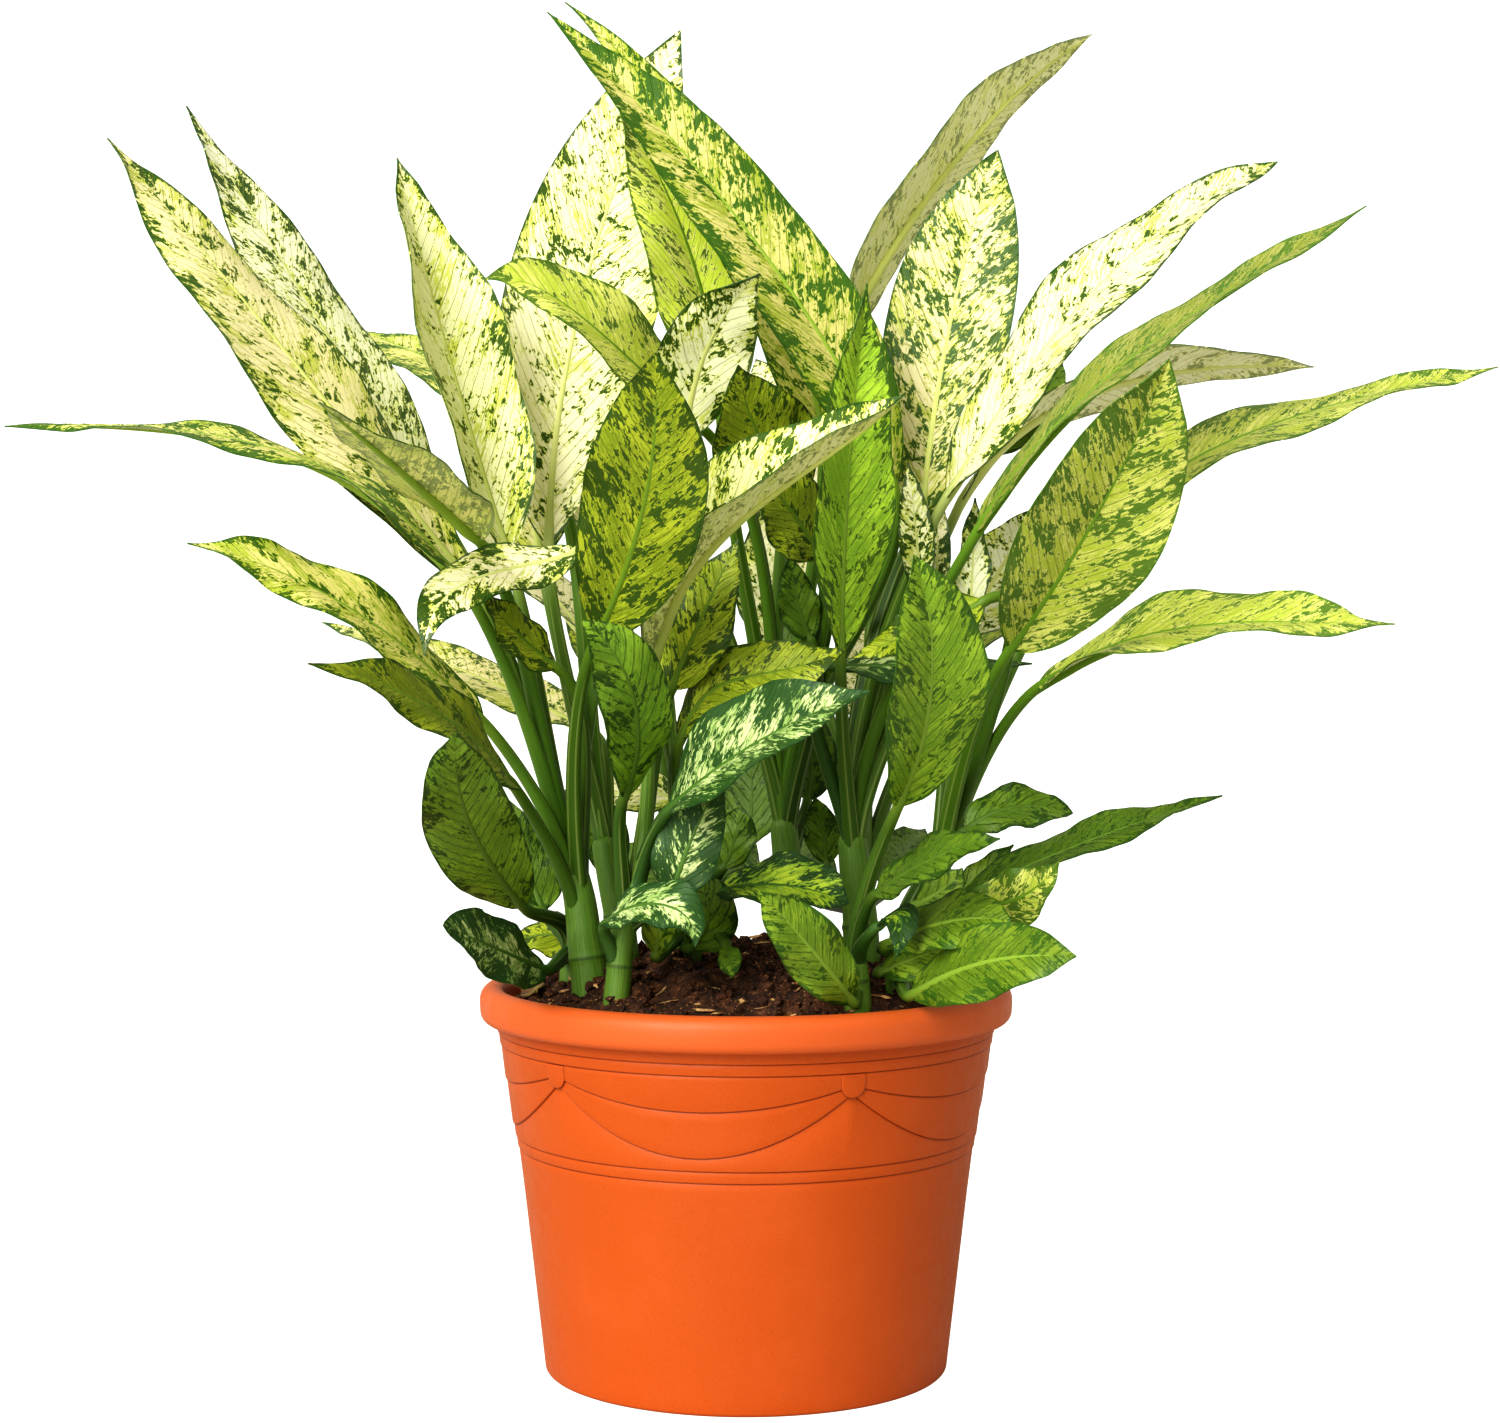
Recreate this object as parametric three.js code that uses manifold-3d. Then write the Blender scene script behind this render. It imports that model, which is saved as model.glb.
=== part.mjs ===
// A potted dieffenbachia: a round plastic pot, its soil, leafy stems and one dry fallen leaf.
// Millimetres, +Z up. The pot stands on Z = 0 about the Z axis, and its front is towards -Y.
import * as THREE from "three";
import Module from "manifold-3d";

const wasm = await Module();
wasm.setup();

// Pot sizes: a common 27 cm pot
const POT_HEIGHT = 196;
const WALL = 3.4;
const FLOOR = 4;
const POT_SIDES = 40;

// Pot outline as [radius, height]: foot, bare wall, and the rolled rim from its underside inwards
const FOOT = [[99.5, 0], [102.3, 2.5]];
const WALL_PROFILE = [[102, 0], [112.4, 91], [120.9, 158], [122.9, 175]];
const RIM = [
  [126.6, 177.5],
  [132.4, 178.4],
  [134.7, 182.5],
  [135, 187.5],
  [133.2, 192.6],
  [129.6, 195.7],
  [127, POT_HEIGHT],
  [124.2, 194.4],
];
const RIM_INSIDE = { height: 183, wall: 1.2 };
const WALL_BEND = 91;
const FLOOR_BEND = 8;
const FLOOR_RADIUS = 95;

// Garland round the pot: swags hung between knobs, between two pairs of ledges
const SWAGS = 5;
const FIRST_KNOB_DEG = 24.3;
const UPPER_LINE = { ends: 161, sag: 11.5 };
const LOWER_LINE = { ends: 157, sag: 30 };
const LEDGES = [114.9, 120.7, 167.1, 172.8];
const LEDGE_STEP = 0.5;
const SWAG_STEP = 0.7;
const EDGE_RISE = 0.3;
const KNOB = { width: 13, bottom: 155, top: 166.4, proud: 0.4, depth: 4 };

// Soil: a low dome inside the rim
const SOIL_RADIUS = 120;
const SOIL_EDGE = 188;
const SOIL_DOME = 24;
const SOIL_SLOPE_TOP = 105;
const SOIL_RADII = [SOIL_RADIUS, SOIL_SLOPE_TOP, 84, 50];
const SOIL_SIDES = 20;
const CLEARANCE = 0.35;

// Stems and leaves
const PLANTING_DEPTH = 25;
const CANE_SIDES = 7;
const TOP_JOINT = 0.97;
const STALK_FOOT = 5;
const STALK_NECK = 2.6;
const BLADE_THICKNESS = 1;
const RIB_DEPTH = 1.6;
const NARROWEST = 0.8;
const WAVE_FADE = 8;
const MARGIN_STEPS = 6;
const WAVES = 2.5;
const DROOP_DEG = 10;
const BASE_FULLNESS = 0.75;
const TIP_TAPER = 1.05;
const LARGE_LEAF = 52;

// Dry leaf lying on the soil near the left of the rim
const DRY_LEAF = { length: 27, width: 13, thickness: 0.9, curl: 1.6, bearingDeg: -74.7, upSlope: 10 };

// Points of stems and leaves are written as [across, height, depth]: across and height as they
// look on the pot's middle plane to an eye at this place in front of the plant, and the real depth
const EYE_DISTANCE = 1492;
const EYE_ACROSS = 2;
const EYE_HEIGHT = 383;

const shootData = {
  left_cane: { colour: 0xb9c070, foot: 9.5, top: 7.0,
    points: [[-79, 194, -49], [-82, 217, -47], [-85, 240, -45], [-91, 263, -43]] },
  left_low: { colour: 0x3f6a34, foot: 6.0, top: 5.0,
    points: [[-89, 198, -20], [-89, 213, -20]] },
  left_back: { colour: 0xb4bc6a, foot: 8.0, top: 6.5,
    points: [[-62, 207, 0], [-64, 225, 2], [-68, 245, 4], [-72, 266, 6]] },
  back_left: { colour: 0x8fa552, foot: 6.0, top: 5.0,
    points: [[-68, 209, 45], [-62, 238, 50]] },
  front_left: { colour: 0x7f9a56, foot: 6.5, top: 5.0,
    points: [[-66, 187, -82], [-63, 215, -81], [-56, 245, -79]] },
  middle: { colour: 0x5a8040, foot: 7.0, top: 5.5,
    points: [[-29, 206, -20], [-29, 230, -22]] },
  rear_middle: { colour: 0xaab45c, foot: 9.0, top: 7.0,
    points: [[22, 216, 40], [22, 235, 40], [21, 256, 41], [19, 276, 42]] },
  right_cane: { colour: 0x9fae58, foot: 9.5, top: 7.5,
    points: [[59, 207, -12], [58, 228, -10], [56, 248, -8], [54, 268, -6]] },
  right_side: { colour: 0x86a040, foot: 8.0, top: 6.5,
    points: [[91, 194, -9], [92, 215, -11], [95, 235, -13]] },
  front_right: { colour: 0x6f9642, foot: 6.5, top: 5.5,
    points: [[57, 186, -90], [56, 205, -90]] },
  right_low: { colour: 0x7a9c46, foot: 7.0, top: 5.5,
    points: [[78, 189, -56], [77, 210, -56]] },
  rear_left: { colour: 0xa8b260, foot: 7.5, top: 6.5,
    points: [[-32, 216, 85], [-33, 238, 90]] },
  rear_right: { colour: 0xa8b260, foot: 7.5, top: 6.5,
    points: [[58, 212, 70], [59, 235, 75]] },
};
const leafData = [
  { on: "left_cane", at: 1.0, width: 72, turn: 59, fold: 2, wave: 3,
    rib: [[-141, 400, -45], [-234, 517, -60], [-322, 623, -40]] },
  { on: "left_cane", at: 0.95, width: 70, turn: 61, fold: 5, wave: 2,
    rib: [[-149, 423, -20], [-216, 531, -5], [-282, 639, 20]] },
  { on: "left_cane", at: 0.9, width: 50, turn: 80, fold: 6, wave: 3,
    rib: [[-144, 398, -75], [-204, 452, -95], [-281, 475, -110], [-375, 478, -115]] },
  { on: "left_cane", at: 0.85, width: 54, turn: 121, fold: 14, wave: 2,
    rib: [[-136, 421, -85], [-171, 453, -150], [-216, 490, -230]] },
  { on: "left_cane", at: 0.5, width: 53, turn: 68, fold: 12, wave: 3,
    rib: [[-133, 328, -80], [-203, 387, -130], [-283, 419, -170]] },
  { on: "left_cane", at: 0.3, width: 42, turn: 66, fold: 12, wave: 3,
    rib: [[-118, 296, -85], [-160, 335, -145], [-222, 358, -200]], base: 0.55 },
  { on: "left_cane", at: 0.8, width: 68, turn: 48, fold: 12, wave: 3,
    rib: [[-120, 411, -30], [-152, 519, -20], [-176, 613, -10]], droop: -35 },
  { on: "left_cane", at: 0.35, width: 60, turn: -12, fold: 10, wave: 2,
    rib: [[-76, 370, -105], [-51, 441, -152], [-46, 515, -192]], taper: 0.8 },
  { on: "left_cane", at: 0.7, width: 34, turn: 40, fold: 8, wave: 2,
    rib: [[-84, 416, -65], [-115, 407, -85], [-148, 395, -110], [-163, 362, -130]] },
  { on: "left_cane", at: 0.5, width: 26, turn: 45, fold: 8, wave: 2,
    rib: [[-96, 356, -65], [-117, 374, -80], [-134, 394, -95]] },
  { on: "left_low", at: 1.0, width: 43, turn: 10, fold: 8, wave: 2,
    rib: [[-113, 234, -75], [-141, 278, -140], [-147, 323, -185]], base: 0.6, taper: 0.75 },
  { on: "left_low", at: 0.9, width: 34, turn: 20, fold: 8, wave: 2,
    rib: [[-103, 232, -5], [-112, 256, 5], [-125, 294, 10]] },
  { on: "left_low", at: 0.5, width: 35, turn: 55, fold: 8, wave: 2,
    rib: [[-102, 202, -56], [-125, 212, -105], [-154, 225, -160]], taper: 0.7 },
  { on: "left_back", at: 0.8, width: 50, turn: 68, fold: 8, wave: 2,
    rib: [[-79, 324, 45], [-148, 356, 115], [-215, 379, 185]] },
  { on: "left_back", at: 1.0, width: 80, turn: 8, fold: 6, wave: 2,
    rib: [[-100, 417, 0], [-82, 547, 40], [-33, 677, 75]], base: 0.85, taper: 0.85 },
  { on: "left_back", at: 0.95, width: 60, turn: 20, fold: 8, wave: 2,
    rib: [[-104, 411, 30], [-113, 481, 65], [-114, 542, 105]] },
  { on: "left_back", at: 0.9, width: 56, turn: 60, fold: 8, wave: 2,
    rib: [[-109, 476, 60], [-155, 509, 120], [-208, 529, 190]] },
  { on: "back_left", at: 1.0, width: 44, turn: 60, fold: 8, wave: 2,
    rib: [[-34, 289, 60], [-74, 291, 65], [-119, 273, 80]] },
  { on: "back_left", at: 0.5, width: 30, turn: 50, fold: 8, wave: 2,
    rib: [[-79, 212, 40], [-100, 220, 40], [-119, 215, 45]] },
  { on: "front_left", at: 0.9, width: 62, turn: -64, fold: 50, wave: 2,
    rib: [[-46, 360, -80], [-19, 416, -112], [30, 456, -145], [81, 495, -165]] },
  { on: "front_left", at: 0.8, width: 38, turn: -25, fold: 8, wave: 2,
    rib: [[-38, 345, -60], [-23, 380, -65], [-4, 421, -60]] },
  { on: "front_left", at: 1.0, width: 53, turn: -48, fold: 28, wave: 2,
    rib: [[-39, 284, -108], [6, 318, -150], [63, 344, -180]] },
  { on: "front_left", at: 0.2, width: 32, turn: -50, fold: 12, wave: 2,
    rib: [[-72, 225, -92], [-54, 235, -114], [-34, 232, -126], [-26, 214, -131]] },
  { on: "front_left", at: 0.5, width: 38, turn: 30, fold: 10, wave: 2,
    rib: [[-62, 290, -98], [-55, 322, -122], [-62, 354, -140], [-83, 380, -150]], taper: 0.8 },
  { on: "middle", at: 1.0, width: 36, turn: -28, fold: 10, wave: 2,
    rib: [[-34, 318, -55], [-16, 345, -66], [10, 353, -76], [50, 365, -85]], taper: 0.7 },
  { on: "front_left", at: 0.6, width: 32, turn: -10, fold: 8, wave: 2,
    rib: [[-38, 239, -96], [-28, 268, -102], [-11, 304, -98]] },
  { on: "middle", at: 0.8, width: 22, turn: -20, fold: 8, wave: 2,
    rib: [[-12, 254, -50], [-6, 268, -52], [-4, 285, -50]], taper: 0.6 },
  { on: "middle", at: 0.7, width: 38, turn: -54, fold: 20, wave: 2,
    rib: [[-15, 242, -60], [19, 245, -78], [52, 236, -90]], base: 0.7, taper: 0.7 },
  { on: "middle", at: 0.4, width: 30, turn: -10, fold: 8, wave: 2,
    rib: [[-29, 213, -45], [-19, 230, -58], [-27, 250, -60]], base: 0.6, taper: 0.6 },
  { on: "middle", at: 0.6, width: 12, turn: 0, fold: 8, wave: 1,
    rib: [[-10, 215, -66], [-8, 206, -88], [-7, 198, -100]] },
  { on: "rear_middle", at: 0.95, width: 66, turn: 36, fold: 15, wave: 2,
    rib: [[-13, 486, 10], [-29, 567, 10], [-66, 643, 10]] },
  { on: "rear_middle", at: 1.0, width: 58, turn: 30, fold: 20, wave: 2,
    rib: [[75, 447, -15], [34, 529, -25], [-32, 616, -30], [-100, 686, -20]], taper: 1.1 },
  { on: "rear_middle", at: 0.9, width: 52, turn: 30, fold: 20, wave: 2,
    rib: [[38, 475, 15], [15, 544, 15], [-33, 627, 20], [-91, 691, 25]], base: 0.5, taper: 1.2 },
  { on: "rear_middle", at: 0.85, width: 50, turn: 49, fold: 24, wave: 2,
    rib: [[-21, 476, -22], [-48, 501, -45], [-75, 526, -68], [-104, 547, -85], [-132, 552, -95]] },
  { on: "rear_middle", at: 0.8, width: 46, turn: 15, fold: 10, wave: 2,
    rib: [[-31, 471, -35], [-19, 519, -60], [7, 555, -90]] },
  { on: "rear_middle", at: 0.9, width: 58, turn: 15, fold: 10, wave: 2,
    rib: [[31, 441, -12], [7, 472, -35], [-4, 509, -60]] },
  { on: "rear_middle", at: 0.8, width: 40, turn: 25, fold: 10, wave: 2,
    rib: [[38, 412, -10], [22, 436, -30], [2, 460, -50]] },
  { on: "rear_middle", at: 0.7, width: 22, turn: 10, fold: 10, wave: 2,
    rib: [[33, 370, 10], [26, 390, 5], [22, 414, 0]] },
  { on: "rear_middle", at: 0.6, width: 32, turn: 10, fold: 10, wave: 2,
    rib: [[11, 370, 60], [9, 400, 65], [7, 438, 70]] },
  { on: "rear_middle", at: 0.92, width: 64, turn: -114, fold: 10, wave: 2,
    rib: [[40, 509, 60], [105, 612, 105], [174, 675, 165]] },
  { on: "right_cane", at: 0.95, width: 66, turn: -15, fold: 12, wave: 2,
    rib: [[89, 431, 0], [103, 529, 15], [127, 617, 30]], taper: 0.8 },
  { on: "right_cane", at: 0.9, width: 66, turn: -60, fold: 12, wave: 3,
    rib: [[101, 441, -20], [145, 509, -30], [199, 568, -25], [268, 611, -10]], taper: 0.8 },
  { on: "right_cane", at: 0.85, width: 55, turn: -76, fold: 12, wave: 2,
    rib: [[116, 423, -60], [170, 491, -90], [239, 543, -110], [313, 589, -120]] },
  { on: "right_cane", at: 0.9, width: 54, turn: -114, fold: 8, wave: 2,
    rib: [[108, 438, 30], [154, 486, 75], [220, 506, 115], [287, 508, 140]] },
  { on: "right_cane", at: 1.0, width: 40, turn: -40, fold: 8, wave: 2,
    rib: [[108, 456, 65], [139, 486, 105], [160, 512, 140]] },
  { on: "right_cane", at: 0.6, width: 50, turn: 37, fold: 21, wave: 2,
    rib: [[48, 365, -50], [52, 456, -65], [61, 550, -60]] },
  { on: "right_cane", at: 0.8, width: 18, turn: -10, fold: 10, wave: 1,
    rib: [[89, 390, -15], [86, 426, -20], [82, 460, -20]] },
  { on: "right_cane", at: 0.7, width: 14, turn: -10, fold: 8, wave: 1,
    rib: [[96, 390, -8], [97, 418, 0], [97, 446, 10]] },
  { on: "right_side", at: 1.0, width: 68, turn: 8, fold: 26, wave: 2,
    rib: [[134, 365, -95], [179, 436, -155], [214, 512, -210]], taper: 0.85 },
  { on: "right_side", at: 0.95, width: 58, turn: -70, fold: 10, wave: 3,
    rib: [[167, 411, -10], [228, 462, 10], [302, 490, 35], [380, 508, 50]] },
  { on: "right_side", at: 0.9, width: 57, turn: -66, fold: 17, wave: 3,
    rib: [[147, 345, -50], [203, 372, -90], [266, 379, -120], [329, 378, -135]] },
  { on: "right_cane", at: 0.75, width: 32, turn: -60, fold: 8, wave: 2,
    rib: [[43, 357, -35], [93, 357, -38], [145, 358, -26]] },
  { on: "right_side", at: 0.95, width: 46, turn: -20, fold: 8, wave: 2,
    rib: [[111, 370, 30], [129, 406, 70], [151, 438, 105]] },
  { on: "right_side", at: 0.9, width: 22, turn: -40, fold: 8, wave: 2,
    rib: [[113, 370, 0], [115, 406, 10], [116, 442, 15]] },
  { on: "right_side", at: 0.85, width: 30, turn: 40, fold: 8, wave: 2,
    rib: [[121, 390, -72], [91, 376, -76], [54, 361, -76]] },
  { on: "front_right", at: 1.0, width: 53, turn: 26, fold: 22, wave: 2,
    rib: [[77, 285, -115], [94, 348, -160], [85, 413, -185]], taper: 0.85 },
  { on: "front_right", at: 0.8, width: 29, turn: -58, fold: 10, wave: 2,
    rib: [[65, 240, -108], [95, 259, -135], [129, 269, -155]] },
  { on: "front_right", at: 0.9, width: 20, turn: -30, fold: 10, wave: 1,
    rib: [[66, 224, -108], [78, 229, -116], [76, 208, -122]] },
  { on: "front_right", at: 0.3, width: 31, turn: 15, fold: 8, wave: 2,
    rib: [[55, 185, -100], [34, 212, -130], [7, 242, -150]], taper: 0.8 },
  { on: "right_low", at: 0.9, width: 36, turn: -70, fold: 12, wave: 2,
    rib: [[106, 238, -62], [172, 267, -85], [242, 291, -105]] },
  { on: "right_low", at: 0.8, width: 30, turn: -30, fold: 8, wave: 2,
    rib: [[110, 234, -75], [139, 239, -95], [159, 257, -110]] },
  { on: "right_low", at: 0.9, width: 14, turn: -40, fold: 8, wave: 2,
    rib: [[104, 238, -50], [121, 253, -50], [136, 266, -50]] },
  { on: "right_low", at: 1.0, width: 20, turn: -20, fold: 8, wave: 1,
    rib: [[86, 235, -65], [101, 244, -70], [110, 254, -72]] },
  { on: "right_low", at: 0.7, width: 32, turn: -45, fold: 8, wave: 2,
    rib: [[71, 215, -88], [104, 227, -115], [135, 227, -135]], taper: 0.8 },
  { on: "right_low", at: 0.4, width: 37, turn: -35, fold: 8, wave: 2,
    rib: [[84, 189, -98], [122, 206, -145], [168, 209, -180]], taper: 0.85 },
  { on: "right_low", at: 0.5, width: 26, turn: -40, fold: 8, wave: 1,
    rib: [[68, 201, -75], [91, 210, -82], [117, 217, -85]] },
  { on: "rear_middle", at: 0.5, width: 28, turn: 10, fold: 10, wave: 2,
    rib: [[31, 288, 66], [33, 311, 70], [30, 337, 72]], taper: 0.8 },
  { on: "rear_right", at: 0.4, width: 20, turn: -10, fold: 10, wave: 1,
    rib: [[41, 256, 26], [39, 272, 22], [35, 290, 16]], taper: 0.8 },
  { on: "back_left", at: 0.7, width: 24, turn: 10, fold: 10, wave: 1,
    rib: [[-66, 248, 30], [-71, 269, 34], [-71, 291, 36]], taper: 0.8 },
  { on: "middle", at: 0.5, width: 18, turn: -10, fold: 8, wave: 1,
    rib: [[-46, 210, -62], [-44, 224, -70], [-43, 239, -74]], taper: 0.8 },
  { on: "rear_middle", at: 0.3, width: 34, turn: -15, fold: 10, wave: 2,
    rib: [[-1, 263, 62], [3, 289, 78], [1, 317, 88]], taper: 0.8 },
  { on: "rear_left", at: 0.5, width: 34, turn: 10, fold: 10, wave: 2,
    rib: [[-40, 289, 100], [-48, 317, 118], [-46, 345, 130]], taper: 0.8 },
  { on: "rear_right", at: 0.5, width: 40, turn: -10, fold: 10, wave: 2,
    rib: [[30, 334, 112], [19, 370, 130], [10, 411, 146]], taper: 0.8 },
  { on: "rear_left", at: 1.0, width: 58, turn: 80, fold: 8, wave: 2,
    rib: [[-74, 411, 125], [-122, 499, 200], [-160, 547, 265]] },
  { on: "rear_left", at: 0.95, width: 56, turn: 20, fold: 8, wave: 2,
    rib: [[-44, 390, 150], [-56, 476, 225], [-69, 527, 290]] },
  { on: "rear_left", at: 0.9, width: 50, turn: 70, fold: 8, wave: 2,
    rib: [[-79, 370, 140], [-115, 411, 200], [-145, 438, 255]] },
  { on: "rear_left", at: 0.8, width: 44, turn: 40, fold: 8, wave: 2,
    rib: [[-46, 324, 160], [-69, 365, 230], [-92, 388, 290]] },
  { on: "rear_left", at: 0.6, width: 32, turn: 30, fold: 8, wave: 2,
    rib: [[-41, 243, 125], [-54, 258, 170], [-68, 262, 212]] },
  { on: "rear_left", at: 0.7, width: 30, turn: -15, fold: 8, wave: 2,
    rib: [[-13, 238, 130], [-6, 259, 175], [-1, 271, 220]] },
  { on: "rear_right", at: 1.0, width: 56, turn: -70, fold: 8, wave: 2,
    rib: [[68, 411, 120], [93, 491, 180], [121, 542, 240]] },
  { on: "rear_right", at: 0.95, width: 54, turn: 0, fold: 8, wave: 2,
    rib: [[27, 390, 145], [17, 471, 215], [5, 512, 280]] },
  { on: "rear_right", at: 0.9, width: 50, turn: -75, fold: 8, wave: 2,
    rib: [[103, 350, 130], [144, 395, 190], [182, 426, 250]] },
  { on: "rear_right", at: 0.8, width: 44, turn: -20, fold: 8, wave: 2,
    rib: [[60, 324, 160], [68, 362, 230], [78, 390, 290]] },
  { on: "rear_right", at: 0.6, width: 34, turn: -30, fold: 8, wave: 2,
    rib: [[71, 243, 115], [81, 263, 165], [91, 274, 210]] },
  { on: "rear_right", at: 0.5, width: 30, turn: 15, fold: 8, wave: 2,
    rib: [[38, 238, 120], [31, 258, 170], [26, 271, 215]] },
  { on: "right_low", at: 1.0, width: 28, turn: -45, fold: 8, wave: 2,
    rib: [[110, 272, -58], [135, 285, -56], [166, 282, -50]], taper: 0.7 },
];

const UP = new THREE.Vector3(0, 0, 1);
const TO_VIEWER = new THREE.Vector3(0, -1, 0);
const radians = THREE.MathUtils.degToRad;

function wallRadius(z) {
  let i = 1;
  while (i < WALL_PROFILE.length - 1 && z > WALL_PROFILE[i][1]) i += 1;
  const [r0, z0] = WALL_PROFILE[i - 1];
  const [r1, z1] = WALL_PROFILE[i];
  return r0 + ((r1 - r0) * (z - z0)) / (z1 - z0);
}

function soilHeight(r) {
  return SOIL_EDGE + SOIL_DOME * (1 - (r / SOIL_RADIUS) ** 4);
}

// A point on the circle of radius r, its bearing measured from the front towards +X
function onCircle(r, bearing, z) {
  return new THREE.Vector3(r * Math.sin(bearing), -r * Math.cos(bearing), z);
}

// A closed skin over rings of points. Each ring runs anticlockwise about the way the rings go.
// Quads from side turnAt onwards are split along their other diagonal.
function skin(rings, turnAt = Infinity) {
  const n = rings[0].length;
  const points = rings.flat();
  const triangles = [];
  for (let i = 0; i < rings.length - 1; i += 1) {
    for (let k = 0; k < n; k += 1) {
      const a = i * n + k;
      const b = i * n + ((k + 1) % n);
      const c = b + n;
      const d = a + n;
      if (k < turnAt) triangles.push(a, b, c, a, c, d);
      else triangles.push(a, b, d, b, c, d);
    }
  }
  const last = points.length - n;
  for (let k = 1; k < n - 1; k += 1) {
    triangles.push(0, k + 1, k);
    triangles.push(last, last + k, last + k + 1);
  }
  return solid(points, triangles);
}

function solid(points, triangles) {
  const vertProperties = new Float32Array(points.flatMap((p) => p.toArray()));
  const triVerts = new Uint32Array(triangles);
  return new wasm.Manifold(new wasm.Mesh({ numProp: 3, vertProperties, triVerts }));
}

// A turned form, with its wall rings given from the bottom outside round to the inside
function turned(sides, rows, firstBearing = 0) {
  const rings = rows.map((row) => {
    const ring = [];
    for (let k = 0; k < sides; k += 1) {
      const bearing = firstBearing + (2 * Math.PI * k) / sides;
      const [r, z] = typeof row === "function" ? row(bearing) : row;
      ring.push(onCircle(r, bearing, z));
    }
    return ring;
  });
  return skin(rings);
}

// Height of a garland line: a parabola between two knobs
function lineHeight(line, bearing) {
  const turn = (bearing - radians(FIRST_KNOB_DEG)) * (SWAGS / (2 * Math.PI));
  const along = turn - Math.floor(turn);
  return line.ends - line.sag * (1 - (2 * along - 1) ** 2);
}

function makePot() {
  const outer = (z, relief) => [wallRadius(z) + relief, z];
  const band = 2 * LEDGE_STEP + 2 * SWAG_STEP;
  const edge = (line, below, above) => [
    (bearing) => outer(lineHeight(line, bearing) - EDGE_RISE, below),
    (bearing) => outer(lineHeight(line, bearing) + EDGE_RISE, above),
  ];
  const ledge = (z, below) => [outer(z - EDGE_RISE, below), outer(z + EDGE_RISE, below + LEDGE_STEP)];
  const rows = [
    ...FOOT,
    outer(WALL_BEND, 0),
    ...ledge(LEDGES[0], 0),
    ...ledge(LEDGES[1], LEDGE_STEP),
    ...edge(LOWER_LINE, 2 * LEDGE_STEP, 2 * LEDGE_STEP + SWAG_STEP),
    ...edge(UPPER_LINE, 2 * LEDGE_STEP + SWAG_STEP, band),
    ...ledge(LEDGES[2], band),
    ...ledge(LEDGES[3], band + LEDGE_STEP),
    ...RIM,
    [wallRadius(RIM_INSIDE.height) - RIM_INSIDE.wall, RIM_INSIDE.height],
    [wallRadius(WALL_BEND) - WALL, WALL_BEND],
    [wallRadius(FLOOR_BEND) - WALL, FLOOR_BEND],
    [FLOOR_RADIUS, FLOOR],
  ];
  let pot = turned(POT_SIDES, rows, radians(FIRST_KNOB_DEG));
  for (let k = 0; k < SWAGS; k += 1) {
    pot = pot.add(makeKnob(radians(FIRST_KNOB_DEG) + (2 * Math.PI * k) / SWAGS, band));
  }
  return pot;
}

// A knob hangs from the upper band, square at the top and round at the bottom
function makeKnob(bearing, band) {
  const half = KNOB.width / 2;
  const outline = [[-half, KNOB.top], [half, KNOB.top]];
  for (let k = 0; k <= 6; k += 1) {
    const turn = (Math.PI * k) / 6;
    outline.push([half * Math.cos(turn), KNOB.bottom + half - half * Math.sin(turn)]);
  }
  const face = (proud) => outline.map(([across, z]) => {
    const r = wallRadius(z) + band + proud;
    return onCircle(r, bearing, z).addScaledVector(onCircle(1, bearing + Math.PI / 2, 0), across);
  });
  return skin([face(KNOB.proud), face(KNOB.proud - KNOB.depth)]);
}

function makeSoil(shoots) {
  const inside = (z) => wallRadius(z) - WALL - CLEARANCE;
  const rows = [
    [FLOOR_RADIUS - 1, FLOOR + CLEARANCE],
    [inside(FLOOR_BEND) - CLEARANCE, FLOOR_BEND + CLEARANCE],
    [inside(WALL_BEND), WALL_BEND],
    ...SOIL_RADII.map((r) => [r, soilHeight(r)]),
  ];
  let soil = turned(SOIL_SIDES, rows, radians(FIRST_KNOB_DEG));
  for (const shoot of shoots) {
    soil = soil.subtract(caneSolid(shoot, CLEARANCE));
  }
  return soil;
}

function seen([across, height, depth]) {
  const k = (EYE_DISTANCE + depth) / EYE_DISTANCE;
  return new THREE.Vector3(
    EYE_ACROSS + (across - EYE_ACROSS) * k,
    depth,
    EYE_HEIGHT + (height - EYE_HEIGHT) * k,
  );
}

// A cane's middle line stands upright in the soil and then follows its points
function makeCane(data) {
  const points = data.points.map(seen);
  const curve = new THREE.CatmullRomCurve3(points, false, "catmullrom");
  const foot = points[0];
  const planted = soilHeight(Math.hypot(foot.x, foot.y)) - PLANTING_DEPTH;
  return { curve, foot, planted, footRadius: data.foot, topRadius: data.top };
}

function ringAbout(centre, along, radius, sides) {
  const across = new THREE.Vector3(1, 0, 0).addScaledVector(along, -along.x).normalize();
  const other = new THREE.Vector3().crossVectors(along, across);
  const ring = [];
  for (let k = 0; k < sides; k += 1) {
    const turn = (2 * Math.PI * k) / sides;
    ring.push(centre.clone()
      .addScaledVector(across, radius * Math.cos(turn))
      .addScaledVector(other, radius * Math.sin(turn)));
  }
  return ring;
}

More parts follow.
